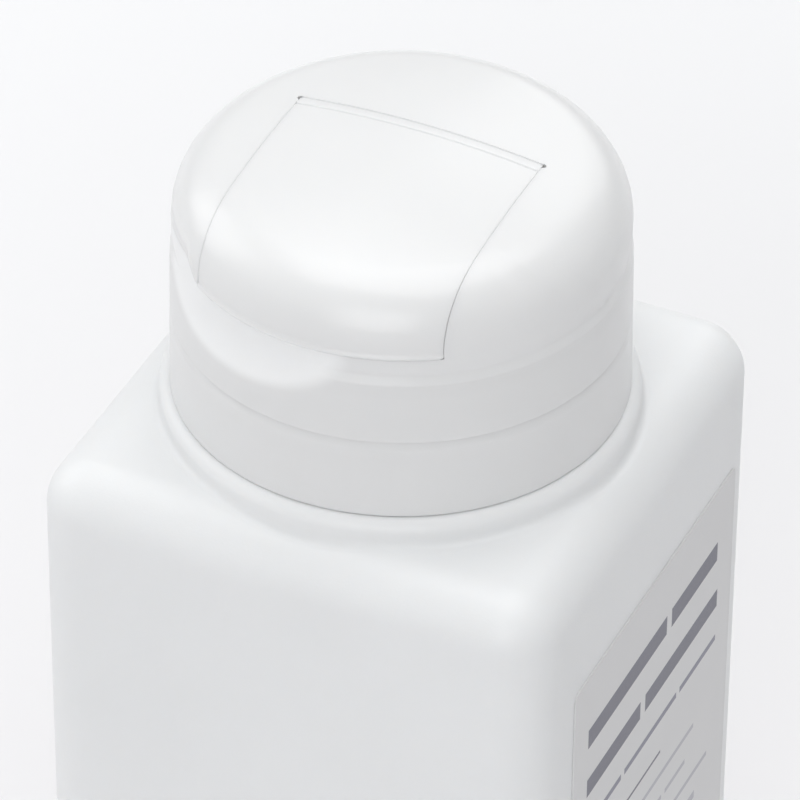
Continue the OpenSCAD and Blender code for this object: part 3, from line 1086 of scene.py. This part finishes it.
@dataclass
class BottleBody:
    """The blow-moulded bottle: a squarish body with soft edges, a collar and a threaded neck."""

    half: float
    lip_z: float
    height: float = 130.0
    corner_r: float = 7.0
    shoulder_r: float = 7.0
    foot_r: float = 4.0
    wall: float = 1.2
    foot_hollow: float = 1.5
    foot_ring: float = 5.0
    collar_r: float = 31.4
    collar_h: float = 3.7
    collar_round: float = 1.8
    collar_fillet: float = 1.1
    neck_r: float = 26.0
    bore_r: float = 24.0
    thread_z: float = 146.15
    lip_round: float = 0.4
    fillet: float = 0.5
    fillet_middle: float = 0.12
    hollow_round: float = 0.25
    hollow_fillet: float = 0.5
    floor_fillet: float = 0.4
    flat_steps: int = 38
    corner_steps: int = 20
    line_steps: int = 200

    def loop(self, half: float, corner: float) -> tuple[np.ndarray, np.ndarray]:
        """Draws a square with rounded corners.

        Args:
            half: Half of its width.
            corner: Radius of its corners.

        Returns:
            Its points in the plan and their outward directions, one per column of the net.
        """
        core = half - corner
        flat = np.linspace(-core, core, self.flat_steps, endpoint=False)
        turn = np.linspace(0, QUARTER, self.corner_steps, endpoint=False)
        x = np.append(flat, core + corner * np.sin(turn))
        y = np.append(np.full(self.flat_steps, -half), -core - corner * np.cos(turn))
        out_x = np.append(np.zeros(self.flat_steps), np.sin(turn))
        out_y = np.append(np.full(self.flat_steps, -1.0), -np.cos(turn))
        points, normals = [], []
        for _ in range(4):
            points.append(np.stack([x, y], axis=1))
            normals.append(np.stack([out_x, out_y], axis=1))
            x, y = -y, x
            out_x, out_y = -out_y, out_x
        return np.concatenate(points), np.concatenate(normals)

    def level(self, plan: np.ndarray, height: np.ndarray) -> np.ndarray:
        """Lifts plan points to a height."""
        return np.column_stack([plan, np.broadcast_to(height, len(plan))])

    def circle(self, radius: float) -> np.ndarray:
        """Gives a circle's plan points, one per column, in line with the outer loop's."""
        return unit(self.loop(self.half, self.corner_r)[0]) * radius

    def ring(self, radius: float, height: np.ndarray) -> np.ndarray:
        """Gives a circle's points at a height, one per column."""
        return self.level(self.circle(radius), height)

    def shoulder(self, inset: float, start_r: float, rows: int) -> list[np.ndarray]:
        """Makes the rows from a circle on the shoulder out and down to the wall.

        Args:
            inset: How far the surface lies inside the outer one.
            start_r: The circle's radius.
            rows: How many rows to make, both ends among them.

        Returns:
            The rows of points.
        """
        half, corner = self.half - inset, self.corner_r - inset
        soft, top = self.shoulder_r - inset, self.height - inset
        ends, _ = self.loop(half, corner)
        starts = self.circle(start_r)
        share = np.linspace(0, 1, self.line_steps)
        line = starts[:, None] + (ends - starts)[:, None] * share[None, :, None]
        past = np.abs(line) - (half - corner)
        outside = np.hypot(*np.moveaxis(np.maximum(past, 0), -1, 0))
        depth = corner - outside - np.minimum(past.max(axis=-1), 0)
        depth = np.minimum.accumulate(np.maximum(depth, 0), axis=1)
        first_lean = np.arcsin(np.clip((soft - depth[:, 0]) / soft, 0, 1))
        flat = np.maximum(depth[:, 0] - soft, 0)
        total = flat + soft * (QUARTER - first_lean)
        made = []
        for part in np.linspace(0, 1, rows):
            along = total * part
            lean = first_lean + np.maximum(along - flat, 0) / soft
            lean = np.minimum(lean, QUARTER)
            wanted = np.where(along < flat, depth[:, 0] - along, soft * (1 - np.sin(lean)))
            at = np.array([np.interp(-w, -d, share) for w, d in zip(wanted, depth)])
            if part == 1:
                at[:] = 1
            plan = starts + (ends - starts) * at[:, None]
            height = np.where(along < flat, top, top - soft + soft * np.cos(lean))
            made.append(self.level(plan, height))
        return made

    def foot_rows(self) -> list[np.ndarray]:
        """Makes the rows under the bottle, from the middle of the hollow out to the foot's round.

        Returns:
            The rows of points.
        """
        soft, fillet, hollow = self.hollow_round, self.hollow_fillet, self.foot_hollow
        plan, out = self.loop(self.half - self.foot_r - self.foot_ring, self.corner_r - self.wall)
        rows = [self.level(plan * share, hollow) for share in (0.02, 0.3, 0.6, 0.85, 0.985)]
        for sin, cos in quarter_turn(4):
            rows.append(self.level(plan - out * soft * (1 - sin), hollow - soft + soft * cos))
        for sin, cos in quarter_turn(5):
            rows.append(self.level(plan + out * fillet * (1 - cos), fillet - fillet * sin))
        plan, out = self.loop(self.half, self.corner_r)
        for sin, cos in quarter_turn(10):
            rows.append(self.level(plan - out * (self.foot_r * (1 - sin)), self.foot_r * (1 - cos)))
        return rows

    def collar_rows(self) -> list[np.ndarray]:
        """Makes the rows of the collar and the neck, from the shoulder up and down into the bore.

        Returns:
            The rows of points.
        """
        start = self.shoulder(0, self.collar_r + self.collar_fillet, 2)[0]
        corner = self.ring(self.collar_r, start[:, 2] + 0.1)
        end = self.ring(self.collar_r, start[:, 2] + 0.1 + self.collar_fillet)
        rows = list(curve_through(start, corner, end, 8))[1:]
        top, inside = self.height + self.collar_h, self.height - self.wall
        soft, lip_z = self.lip_round, self.lip_z - self.lip_round
        for sin, cos in quarter_turn(10):
            radius = self.collar_r - self.collar_round * (1 - cos)
            rows.append(self.ring(radius, top - self.collar_round * (1 - sin)))
        rows.append(self.ring(self.neck_r + self.fillet, top))
        rows.append(self.ring(self.neck_r + self.fillet_middle, top + self.fillet_middle))
        rows.append(self.ring(self.neck_r, top + self.fillet))
        rows += [self.ring(self.neck_r, z) for z in np.linspace(top + 2, lip_z, 6)]
        for sin, cos in quarter_turn(5)[1:]:
            rows.append(self.ring(self.neck_r - soft + soft * cos, lip_z + soft * sin))
        for sin, cos in quarter_turn(5):
            rows.append(self.ring(self.bore_r + soft - soft * sin, lip_z + soft * cos))
        rows += [self.ring(self.bore_r, z) for z in np.linspace(self.lip_z - 4, inside + self.fillet, 8)]
        rows.append(self.ring(self.bore_r + self.fillet_middle, inside + self.fillet_middle))
        return rows

    def inside_rows(self) -> list[np.ndarray]:
        """Makes the rows of the body's inside, from the shoulder down to the middle of the floor.

        Returns:
            The rows of points.
        """
        wall, soft = self.wall, self.foot_r - self.wall
        rows = self.shoulder(wall, self.bore_r + self.fillet, 16)
        plan, out = self.loop(self.half - wall, self.corner_r - wall)
        rows += [self.level(plan, z) for z in np.linspace(self.height - 20, self.foot_r + 4, 8)]
        for sin, cos in quarter_turn(6):
            rows.append(self.level(plan - out * soft * (1 - cos), wall + soft * (1 - sin)))
        pad, pad_out = self.loop(self.half - self.foot_r - self.foot_ring + wall, self.corner_r)
        rows.append(self.level(pad + pad_out * self.floor_fillet, wall))
        rows.append(self.level(pad, wall + self.floor_fillet))
        rows.append(self.level(pad, wall + self.foot_hollow - 0.3))
        rows += [self.level(pad * share, wall + self.foot_hollow) for share in (0.99, 0.7, 0.35, 0.02)]
        return rows

    def draw(self) -> Draft:
        """Draws the bottle as one closed net, from under its foot up, in, and down to its floor.

        Returns:
            The drawn mesh.
        """
        plan, _ = self.loop(self.half, self.corner_r)
        rows = self.foot_rows()
        top = self.height - self.shoulder_r
        rows += [self.level(plan, z) for z in np.linspace(self.foot_r, top, 34)[1:-1]]
        rows += self.shoulder(0, self.collar_r + self.collar_fillet, 30)[::-1]
        rows += self.collar_rows()
        rows += self.inside_rows()
        draft = Draft("bottle_shell")
        draft.add_tube(np.stack(rows))
        Thread(self.neck_r, True, self.thread_z).draw(draft)
        return draft


class Ink(Enum):
    """The fields of colour on the label."""

    BARE = 0
    STRONG = 1
    FINE = 2
    FAINT = 3


@dataclass(frozen=True)
class Bar:
    """One plain bar on the label, in millimetres along Y and Z."""

    left: float
    right: float
    foot: float
    top: float
    ink: Ink


@dataclass
class Label:
    """The thin sticker on the right-hand face, with plain bars where it would be printed."""

    low: np.ndarray
    high: np.ndarray
    corner_r: float = 1.5
    bevel: float = 0.06
    press: float = 0.01
    margin: float = 4.6

    def bars(self) -> list[Bar]:
        """Lays out the bars: two strong rows, a finer row, a rule, and faint rows below.

        Returns:
            The bars.
        """
        left = self.low[1] + self.margin
        top = self.high[2]
        rows = [
            (9.3, 12.5, Ink.STRONG, ((0, 25.6), (27.2, 42.6))),
            (17.9, 20.9, Ink.STRONG, ((0, 17.4), (19.0, 43.2))),
            (25.9, 26.9, Ink.FINE, ((0, 11.5), (12.6, 29.9), (31.0, 43.2))),
            (32.3, 32.8, Ink.STRONG, ((0, 25.0),)),
            (36.6, 37.4, Ink.FAINT, ((0, 17.0), (18.2, 36.6))),
            (41.1, 41.9, Ink.FAINT, ((0, 26.0), (27.2, 34.0))),
            (45.8, 46.6, Ink.FAINT, ((0, 9.0), (10.2, 41.9))),
            (49.9, 51.2, Ink.FAINT, ((0, 20.5), (21.7, 38.0))),
            (54.4, 55.7, Ink.FAINT, ((0, 31.0),)),
            (63.0, 63.3, Ink.FINE, ((0, 43.2),)),
            (67.0, 68.3, Ink.FAINT, ((0, 15.0), (24.0, 43.2))),
            (71.0, 72.3, Ink.FAINT, ((0, 13.0), (24.0, 40.0))),
            (75.0, 76.3, Ink.FAINT, ((0, 16.0), (24.0, 43.2))),
            (79.0, 80.3, Ink.FAINT, ((0, 11.0), (24.0, 33.0))),
        ]
        return [Bar(left + start, left + end, top - lower, top - upper, ink)
                for upper, lower, ink, spans in rows for start, end in spans]

    def draw(self) -> Draft:
        """Draws the sticker as a thin plate whose face is split along the bars.

        Returns:
            The drawn mesh.
        """
        bars = self.bars()
        corner = np.linspace(0, self.corner_r, 6)
        sides = [side for bar in bars for side in (bar.left, bar.right)]
        ends = [end for bar in bars for end in (bar.foot, bar.top)]
        y = np.concatenate([self.low[1] + corner, self.high[1] - corner, sides])
        z = np.concatenate([self.low[2] + corner, self.high[2] - corner, ends])
        y, z = np.unique(np.round(y, 4)), np.unique(np.round(z, 4))
        y_net, z_net = np.meshgrid(y, z)
        middle = (self.low + self.high) / 2
        half = (self.high - self.low) / 2
        past_y, past_z = np.abs(y_net - middle[1]), np.abs(z_net - middle[2])
        p = np.maximum(past_y - (half[1] - self.corner_r), 0)
        q = np.maximum(past_z - (half[2] - self.corner_r), 0)
        pull = corner_pull(p, q)
        y_net = middle[1] + np.sign(y_net - middle[1]) * (past_y - p + p * pull)
        z_net = middle[2] + np.sign(z_net - middle[2]) * (past_z - q + q * pull)
        draft = Draft("face_label")
        face = np.stack([np.full(y_net.shape, self.high[0]), y_net, z_net], axis=-1)
        back = np.stack([np.full(y_net.shape, self.low[0] - self.press), y_net, z_net], axis=-1)
        edge = edge_numbers(*y_net.shape)
        shrink = 1 - self.bevel / half[1:]
        face[..., 1] = middle[1] + (y_net - middle[1]) * shrink[0]
        face[..., 2] = middle[2] + (z_net - middle[2]) * shrink[1]
        side = back.reshape(-1, 3)[edge].copy()
        side[:, 0] = self.high[0] - self.bevel
        draft.add_shell(face, [side], back)
        mid_y, mid_z = (y[:-1] + y[1:]) / 2, (z[:-1] + z[1:]) / 2
        for number, (at_z, at_y) in enumerate((at_z, at_y) for at_z in mid_z for at_y in mid_y):
            for bar in bars:
                if bar.left < at_y < bar.right and bar.foot < at_z < bar.top:
                    draft.marks[number] = bar.ink.value
        return draft


def wire(tree: bpy.types.NodeTree, kind: str, values: dict, **settings) -> bpy.types.Node:
    """Adds a node and joins or sets its inputs.

    Args:
        tree: The node tree.
        kind: The node's type.
        values: Its inputs by name or number: a socket to join, or a value to set.
        **settings: Properties of the node itself.

    Returns:
        The new node.
    """
    made = tree.nodes.new(kind)
    for name, value in settings.items():
        setattr(made, name, value)
    for name, value in values.items():
        if isinstance(value, bpy.types.NodeSocket):
            tree.links.new(value, made.inputs[name])
        else:
            made.inputs[name].default_value = value
    return made


def new_group(name: str, inputs: dict[str, float],
              outputs: tuple[str, ...]) -> tuple[bpy.types.NodeTree, bpy.types.Node, bpy.types.Node]:
    """Starts a node group of float sockets.

    Args:
        name: The group's name.
        inputs: Its inputs with their usual values.
        outputs: Its outputs.

    Returns:
        The group, its input node and its output node.
    """
    tree = bpy.data.node_groups.new(name, "ShaderNodeTree")
    for socket, value in inputs.items():
        made = tree.interface.new_socket(name=socket, in_out="INPUT", socket_type="NodeSocketFloat")
        made.default_value = value
    for socket in outputs:
        tree.interface.new_socket(name=socket, in_out="OUTPUT", socket_type="NodeSocketFloat")
    return tree, tree.nodes.new("NodeGroupInput"), tree.nodes.new("NodeGroupOutput")


def moulded_surface() -> bpy.types.NodeTree:
    """Builds the group for moulded plastic: a fine grain, long soft waves and a slow drift of tone.

    Returns:
        The node group, whose outputs are Height, Tone and Sheen.
    """
    usual = {"Grain Size": 0.5, "Grain Height": 0.4, "Wave Size": 14.0, "Wave Height": 1.0}
    tree, given, result = new_group("moulded_surface", usual, ("Height", "Tone", "Sheen"))
    where = tree.nodes.new("ShaderNodeTexCoord").outputs["Object"]

    def noise(size: bpy.types.NodeSocket, detail: float) -> bpy.types.NodeSocket:
        """Adds noise whose features are as large as an input says.

        Args:
            size: Their size, in millimetres.
            detail: How many finer layers the noise has.

        Returns:
            The noise.
        """
        scale = wire(tree, "ShaderNodeMath", {0: 1 / MM, 1: size}, operation="DIVIDE").outputs[0]
        values = {"Vector": where, "Scale": scale, "Detail": detail}
        return wire(tree, "ShaderNodeTexNoise", values).outputs["Fac"]

    grain = noise(given.outputs["Grain Size"], 2.0)
    wave = noise(given.outputs["Wave Size"], 1.0)
    fine = wire(tree, "ShaderNodeMath", {0: grain, 1: given.outputs["Grain Height"]}, operation="MULTIPLY")
    wide = wire(tree, "ShaderNodeMath", {0: wave, 1: given.outputs["Wave Height"]}, operation="MULTIPLY")
    height = wire(tree, "ShaderNodeMath", {0: fine.outputs[0], 1: wide.outputs[0]}, operation="ADD")
    tone = wire(tree, "ShaderNodeMapRange", {"Value": wave, "From Min": 0.3, "From Max": 0.7})
    sheen = wire(tree, "ShaderNodeMath", {0: grain, 1: wave, 2: 0.0}, operation="MULTIPLY_ADD")
    for name, node in (("Height", height), ("Tone", tone), ("Sheen", sheen)):
        tree.links.new(node.outputs[0], result.inputs[name])
    return tree


PLASTIC_IOR = 1.49
COAT_ROUGHNESS = 0.2
SCATTER = (1.0, 0.95, 0.9)
# The white that the scoop's painted light mixes into the cap's colour.
PAINTED_GLOW_WHITE = (0.985, 0.997, 1, 1)
SHEEN_LOW = 0.1
SHEEN_HIGH = 0.4


@dataclass(frozen=True)
class Plastic:
    """A moulded plastic, from dull foam to a polished cap, with its lengths in millimetres."""

    name: str
    pale: tuple[float, float, float]
    deep: tuple[float, float, float]
    roughness: tuple[float, float]
    milky: float
    milky_depth: float = 1.2
    grain_size: float = 0.5
    grain_height: float = 0.3
    wave_size: float = 16.0
    wave_height: float = 1.0
    relief: float = 0.02
    # The shading tones are painted shade by height, and the pale share is painted light in the scoop.
    shading: tuple[tuple[float, float], ...] = ()
    scoop_painted_light: float = 0.0
    coat: float = 0.0

    def build(self, surface: bpy.types.NodeTree) -> bpy.types.Material:
        """Makes the material.

        Args:
            surface: The node group of moulded plastic.

        Returns:
            The new material.
        """
        material = bpy.data.materials.new(self.name)
        material.use_nodes = True
        tree = material.node_tree
        shader = tree.nodes["Principled BSDF"]
        group = tree.nodes.new("ShaderNodeGroup")
        group.node_tree = surface
        group.inputs["Grain Size"].default_value = self.grain_size
        group.inputs["Grain Height"].default_value = self.grain_height
        group.inputs["Wave Size"].default_value = self.wave_size
        group.inputs["Wave Height"].default_value = self.wave_height
        tones = {0: group.outputs["Tone"], 6: (*self.deep, 1), 7: (*self.pale, 1)}
        colour = wire(tree, "ShaderNodeMix", tones, data_type="RGBA").outputs[2]
        # Painted shade by height and painted light in the scoop are mixed into the colour here.
        if self.shading:
            thin = wire(tree, "ShaderNodeAttribute", {}, attribute_name="painted_light_mask")
            colour = self.shade(tree, colour, thin.outputs["Fac"])
            # Painted light: the scoop's colour is mixed towards white.
            amount = {0: thin.outputs["Fac"], 1: self.scoop_painted_light}
            share = wire(tree, "ShaderNodeMath", amount, operation="MULTIPLY").outputs[0]
            tones = {0: share, 6: colour, 7: PAINTED_GLOW_WHITE}
            colour = wire(tree, "ShaderNodeMix", tones, data_type="RGBA").outputs[2]
        low, high = self.roughness
        rough = wire(tree, "ShaderNodeMapRange", {"Value": group.outputs["Sheen"], "From Min": SHEEN_LOW,
                                                  "From Max": SHEEN_HIGH, "To Min": low, "To Max": high})
        bump = wire(tree, "ShaderNodeBump", {"Height": group.outputs["Height"], "Strength": 1.0,
                                             "Distance": self.relief * MM})
        tree.links.new(colour, shader.inputs["Base Color"])
        tree.links.new(rough.outputs[0], shader.inputs["Roughness"])
        tree.links.new(bump.outputs[0], shader.inputs["Normal"])
        shader.inputs["Subsurface Weight"].default_value = self.milky
        shader.inputs["Subsurface Radius"].default_value = SCATTER
        shader.inputs["Subsurface Scale"].default_value = self.milky_depth * MM
        shader.inputs["IOR"].default_value = PLASTIC_IOR
        shader.inputs["Coat Weight"].default_value = self.coat
        shader.inputs["Coat Roughness"].default_value = COAT_ROUGHNESS
        return material

    def shade(self, tree: bpy.types.NodeTree, colour: bpy.types.NodeSocket,
              thin: bpy.types.NodeSocket) -> bpy.types.NodeSocket:
        """Paints shade into a colour by height, darker below the ledge where the neck stands behind the
        plastic, but not in the scoop.

        Args:
            tree: The material's node tree.
            colour: The colour to darken.
            thin: The share of the scoop's painted light, where the wall stays thin.

        Returns:
            The darkened colour.
        """
        where = tree.nodes.new("ShaderNodeTexCoord").outputs["Object"]
        height = wire(tree, "ShaderNodeSeparateXYZ", {0: where}).outputs["Z"]
        (foot, _), (top, _) = self.shading[0], self.shading[-1]
        span = {"Value": height, "From Min": foot * MM, "From Max": top * MM}
        share = wire(tree, "ShaderNodeMapRange", span)
        ramp = wire(tree, "ShaderNodeValToRGB", {0: share.outputs[0]})
        for number, (level, tone) in enumerate(self.shading):
            place = (level - foot) / (top - foot)
            stops = ramp.color_ramp.elements
            stop = stops[0] if number == 0 else stops[-1] if place == 1 else stops.new(place)
            stop.color = (tone, tone, tone, 1)
        whole = wire(tree, "ShaderNodeMath", {0: 1.0, 1: thin}, operation="SUBTRACT")
        return wire(tree, "ShaderNodeMix", {0: whole.outputs[0], 6: colour, 7: ramp.outputs[0]},
                    data_type="RGBA", blend_type="MULTIPLY").outputs[2]


# The cap's colour holds painted shade, darker below the ledge, and painted light, paler in the scoop.
WHITE_CAP = Plastic("cap_plastic", (0.785, 0.79, 0.792), (0.775, 0.78, 0.782), (0.31, 0.36), 0.35,
                    grain_height=0.1, shading=((140.0, 0.965), (152.0, 0.96), (154.2, 0.94), (154.6, 1.0)),
                    scoop_painted_light=0.6, coat=0.3)
WHITE_FLAP = Plastic("flap_plastic", (0.785, 0.79, 0.792), (0.775, 0.78, 0.782), (0.31, 0.36), 0.35,
                     grain_height=0.1, coat=0.3)
MILKY_BOTTLE = Plastic("bottle_plastic", (0.83, 0.84, 0.845), (0.81, 0.82, 0.825), (0.4, 0.48), 0.5, 1.6,
                       grain_size=0.35, grain_height=0.5, wave_size=22, wave_height=2.4, relief=0.03)
INNER_TRAY = Plastic("insert_plastic", (0.8, 0.81, 0.82), (0.78, 0.79, 0.8), (0.42, 0.5), 0.3)
SEAL_FOAM = Plastic("seal_foam", (0.7, 0.71, 0.72), (0.6, 0.61, 0.62), (0.7, 0.85), 0.1,
                    grain_size=0.25, grain_height=2.5, wave_size=3, relief=0.06)
LABEL_FILM = Plastic("label_film", (0.715, 0.715, 0.72), (0.7, 0.7, 0.705), (0.42, 0.5), 0.0,
                     grain_size=0.2, grain_height=0.5, wave_size=9, wave_height=0.6, relief=0.008)
STRONG_INK = Plastic("strong_ink", (0.2, 0.2, 0.24), (0.17, 0.17, 0.21), (0.4, 0.5), 0.0, grain_size=0.3)
FINE_INK = Plastic("fine_ink", (0.27, 0.27, 0.33), (0.24, 0.24, 0.3), (0.4, 0.5), 0.0, grain_size=0.3)
FAINT_INK = Plastic("faint_ink", (0.5, 0.5, 0.54), (0.48, 0.48, 0.52), (0.4, 0.5), 0.0, grain_size=0.3)


PAPER_NEAR = (0.785, 0.78, 0.79, 1)
PAPER_NEAR_PALE = (0.795, 0.79, 0.8, 1)
# The floor's paler colour far off is painted light.
FLOOR_FAR_PAINTED_LIGHT = (0.865, 0.87, 0.88, 1)
SKY_WHITE = (0.985, 0.99, 1.0, 1)


@dataclass(frozen=True)
class Softbox:
    """One large soft light, with its place and its side in metres and its power in watts."""

    name: str
    place: tuple[float, float, float]
    size: float
    power: float

    def build(self, target: tuple[float, float, float]) -> None:
        """Hangs the light.

        Args:
            target: The point that it looks at, in metres.
        """
        lamp = bpy.data.lights.new(self.name, "AREA")
        lamp.shape = "SQUARE"
        lamp.size = self.size
        lamp.energy = self.power
        made = bpy.data.objects.new(self.name, lamp)
        made.location = self.place
        aim = Vector(target) - Vector(self.place)
        made.rotation_euler = aim.to_track_quat("-Z", "Y").to_euler()
        bpy.context.scene.collection.objects.link(made)


@dataclass
class Studio:
    """The plain pale floor, the soft lights and the camera.

    The camera's sizes were fitted to the photograph: lengths in millimetres, places in the picture
    in pixels. The floor, its fade and the lights are in metres.
    """

    focus_z: float
    frame_px: float = 800.0
    focal_px: float = 6587.0
    distance: float = 846.97
    turn: float = math.radians(24.912)
    height: float = math.radians(38.3)
    roll: float = math.radians(-0.493)
    focus_px: tuple[float, float] = (401.359, 298.573)
    sensor: float = 36.0
    floor_half: float = 6.0
    # The floor's painted light comes in over these distances along the view.
    fade: tuple[float, float] = (0.08, 0.3)
    aim: tuple[float, float, float] = (0, 0, 0.11)
    ambient: float = 0.375

    def camera(self) -> None:
        """Sets the camera so that the cap's middle at the groove falls on its place in the picture."""
        back = np.array([math.sin(self.turn) * math.cos(self.height),
                         -math.cos(self.turn) * math.cos(self.height), math.sin(self.height)])
        right = np.array([math.cos(self.turn), math.sin(self.turn), 0])
        up = np.cross(back, right)
        tilted_right = math.cos(self.roll) * right - math.sin(self.roll) * up
        tilted_up = math.sin(self.roll) * right + math.cos(self.roll) * up
        shift_x = (self.focus_px[0] - self.frame_px / 2) / self.focal_px * self.distance
        shift_y = (self.frame_px / 2 - self.focus_px[1]) / self.focal_px * self.distance
        place = np.array([0, 0, self.focus_z]) + back * self.distance
        place = (place - tilted_right * shift_x - tilted_up * shift_y) * MM
        lens = bpy.data.cameras.new("camera")
        lens.sensor_width = self.sensor
        lens.lens = self.focal_px / self.frame_px * self.sensor
        lens.clip_end = 20
        made = bpy.data.objects.new("camera", lens)
        axes = zip(tilted_right, tilted_up, back, place)
        made.matrix_world = Matrix([list(row) for row in axes] + [[0, 0, 0, 1]])
        bpy.context.scene.collection.objects.link(made)
        bpy.context.scene.camera = made

    def floor(self) -> None:
        """Lays the pale floor, with a very faint mottle and painted light that leaves it a little darker
        towards the camera and paler away from it.
        """
        edge = self.floor_half
        corners = [(-edge, -edge, 0), (edge, -edge, 0), (edge, edge, 0), (-edge, edge, 0)]
        mesh = bpy.data.meshes.new("floor")
        mesh.from_pydata(corners, [], [(0, 1, 2, 3)])
        made = bpy.data.objects.new("floor", mesh)
        bpy.context.scene.collection.objects.link(made)
        material = bpy.data.materials.new("floor_paper")
        material.use_nodes = True
        tree = material.node_tree
        where = tree.nodes.new("ShaderNodeTexCoord").outputs["Object"]
        mottle = wire(tree, "ShaderNodeTexNoise", {"Vector": where, "Scale": 3.0, "Detail": 2.0})
        # Painted light: the floor's colour turns paler away from the camera.
        ahead = (-math.sin(self.turn), math.cos(self.turn), 0)
        away = wire(tree, "ShaderNodeVectorMath", {0: where, 1: ahead}, operation="DOT_PRODUCT")
        start, end = self.fade
        span = {"Value": away.outputs["Value"], "From Min": start, "From Max": end}
        depth = wire(tree, "ShaderNodeMapRange", span)
        tones = {0: mottle.outputs["Fac"], 6: PAPER_NEAR, 7: PAPER_NEAR_PALE}
        near = wire(tree, "ShaderNodeMix", tones, data_type="RGBA")
        tones = {0: depth.outputs[0], 6: near.outputs[2], 7: FLOOR_FAR_PAINTED_LIGHT}
        colour = wire(tree, "ShaderNodeMix", tones, data_type="RGBA")
        shader = tree.nodes["Principled BSDF"]
        tree.links.new(colour.outputs[2], shader.inputs["Base Color"])
        shader.inputs["Roughness"].default_value = 0.9
        mesh.materials.append(material)

    def light(self) -> None:
        """Sets the soft lights and the even light all around."""
        for softbox in (Softbox("overhead_softbox", (0.0, 0.1, 1.5), 1.4, 13.9),
                        Softbox("front_softbox", (0.35, -1.5, 0.7), 1.0, 7.7),
                        Softbox("left_softbox", (-1.4, 0.0, 0.8), 1.0, 5.7),
                        Softbox("back_softbox", (0.0, 1.4, 0.9), 1.0, 3.8)):
            softbox.build(self.aim)
        world = bpy.data.worlds.new("soft_room")
        world.use_nodes = True
        sky = world.node_tree.nodes["Background"]
        sky.inputs["Color"].default_value = SKY_WHITE
        sky.inputs["Strength"].default_value = self.ambient
        bpy.context.scene.world = world
        bpy.context.scene.view_settings.view_transform = "Standard"

    def build(self) -> None:
        """Sets up the whole studio."""
        self.camera()
        self.floor()
        self.light()


def place_piece(draft: Draft, body: Body, node: str, materials: list) -> bpy.types.Object:
    """Builds a drawn piece in the place of a node.

    Args:
        draft: The drawn mesh.
        body: The body that it moves with.
        node: The node that it stands for.
        materials: Its materials.

    Returns:
        The piece.
    """
    made = draft.build(materials)
    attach(made, body.value)
    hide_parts(node)
    log.info("%s: %d points, %d faces", draft.name, len(draft.points), len(draft.faces))
    return made


def dress_node(frame: dict, node: str, material: bpy.types.Material) -> None:
    """Gives a node of the frame its finish.

    Args:
        frame: The loaded frame.
        node: The node's name.
        material: The finish.
    """
    mesh = frame["nodes"][node].data
    mesh.materials.clear()
    mesh.materials.append(material)
    log.info("%s: dressed", node)


# The solids leave wider gaps than the picture shows. The solid flap's front ends SILL_DROP above the
# window's sill, and the drawn one FLAP_GAP above it. The cap's foot is drawn FOOT_DROP lower.
SILL_DROP = 0.35
FLAP_GAP = 0.04
FOOT_DROP = 0.42


def main() -> None:
    """Builds the studio and the bottle's pieces in order."""
    logging.basicConfig(level=logging.INFO, format="%(name)s: %(message)s")
    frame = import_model()
    cap_low, _ = node_box("cap")
    flap_low, flap_high = node_box("flap")
    label_low, label_high = node_box("label")
    seal_low, _ = node_box("seal_ring")
    _, bottle_high = node_box("bottle")
    Studio(ScrewCap.groove_z).build()

    surface = moulded_surface()
    cap_white, flap_white = WHITE_CAP.build(surface), WHITE_FLAP.build(surface)
    dome = Dome(float(flap_high[2]))
    sill_z = float(flap_low[2]) - SILL_DROP
    cap = ScrewCap(dome, Scoop(sill_z), float(cap_low[2]) - FOOT_DROP, sill_z)
    place_piece(cap.draw(), Body.CAP, "cap", [cap_white])
    flap = FlipFlap(dome, sill_z + FLAP_GAP, float(flap_low[2]))
    place_piece(flap.draw(), Body.FLAP, "flap", [flap_white])
    strip = HingeWeb(dome)
    web = strip.draw().build([cap_white])
    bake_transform(web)
    bottle = BottleBody(float(bottle_high[0]), float(seal_low[2]))
    place_piece(bottle.draw(), Body.BOTTLE, "bottle", [MILKY_BOTTLE.build(surface)])
    inks = [finish.build(surface) for finish in (LABEL_FILM, STRONG_INK, FINE_INK, FAINT_INK)]
    place_piece(Label(label_low, label_high).draw(), Body.BOTTLE, "label", inks)
    dress_node(frame, "sprinkle_insert", INNER_TRAY.build(surface))
    dress_node(frame, "seal_ring", SEAL_FOAM.build(surface))


if __name__ == "__main__":
    main()
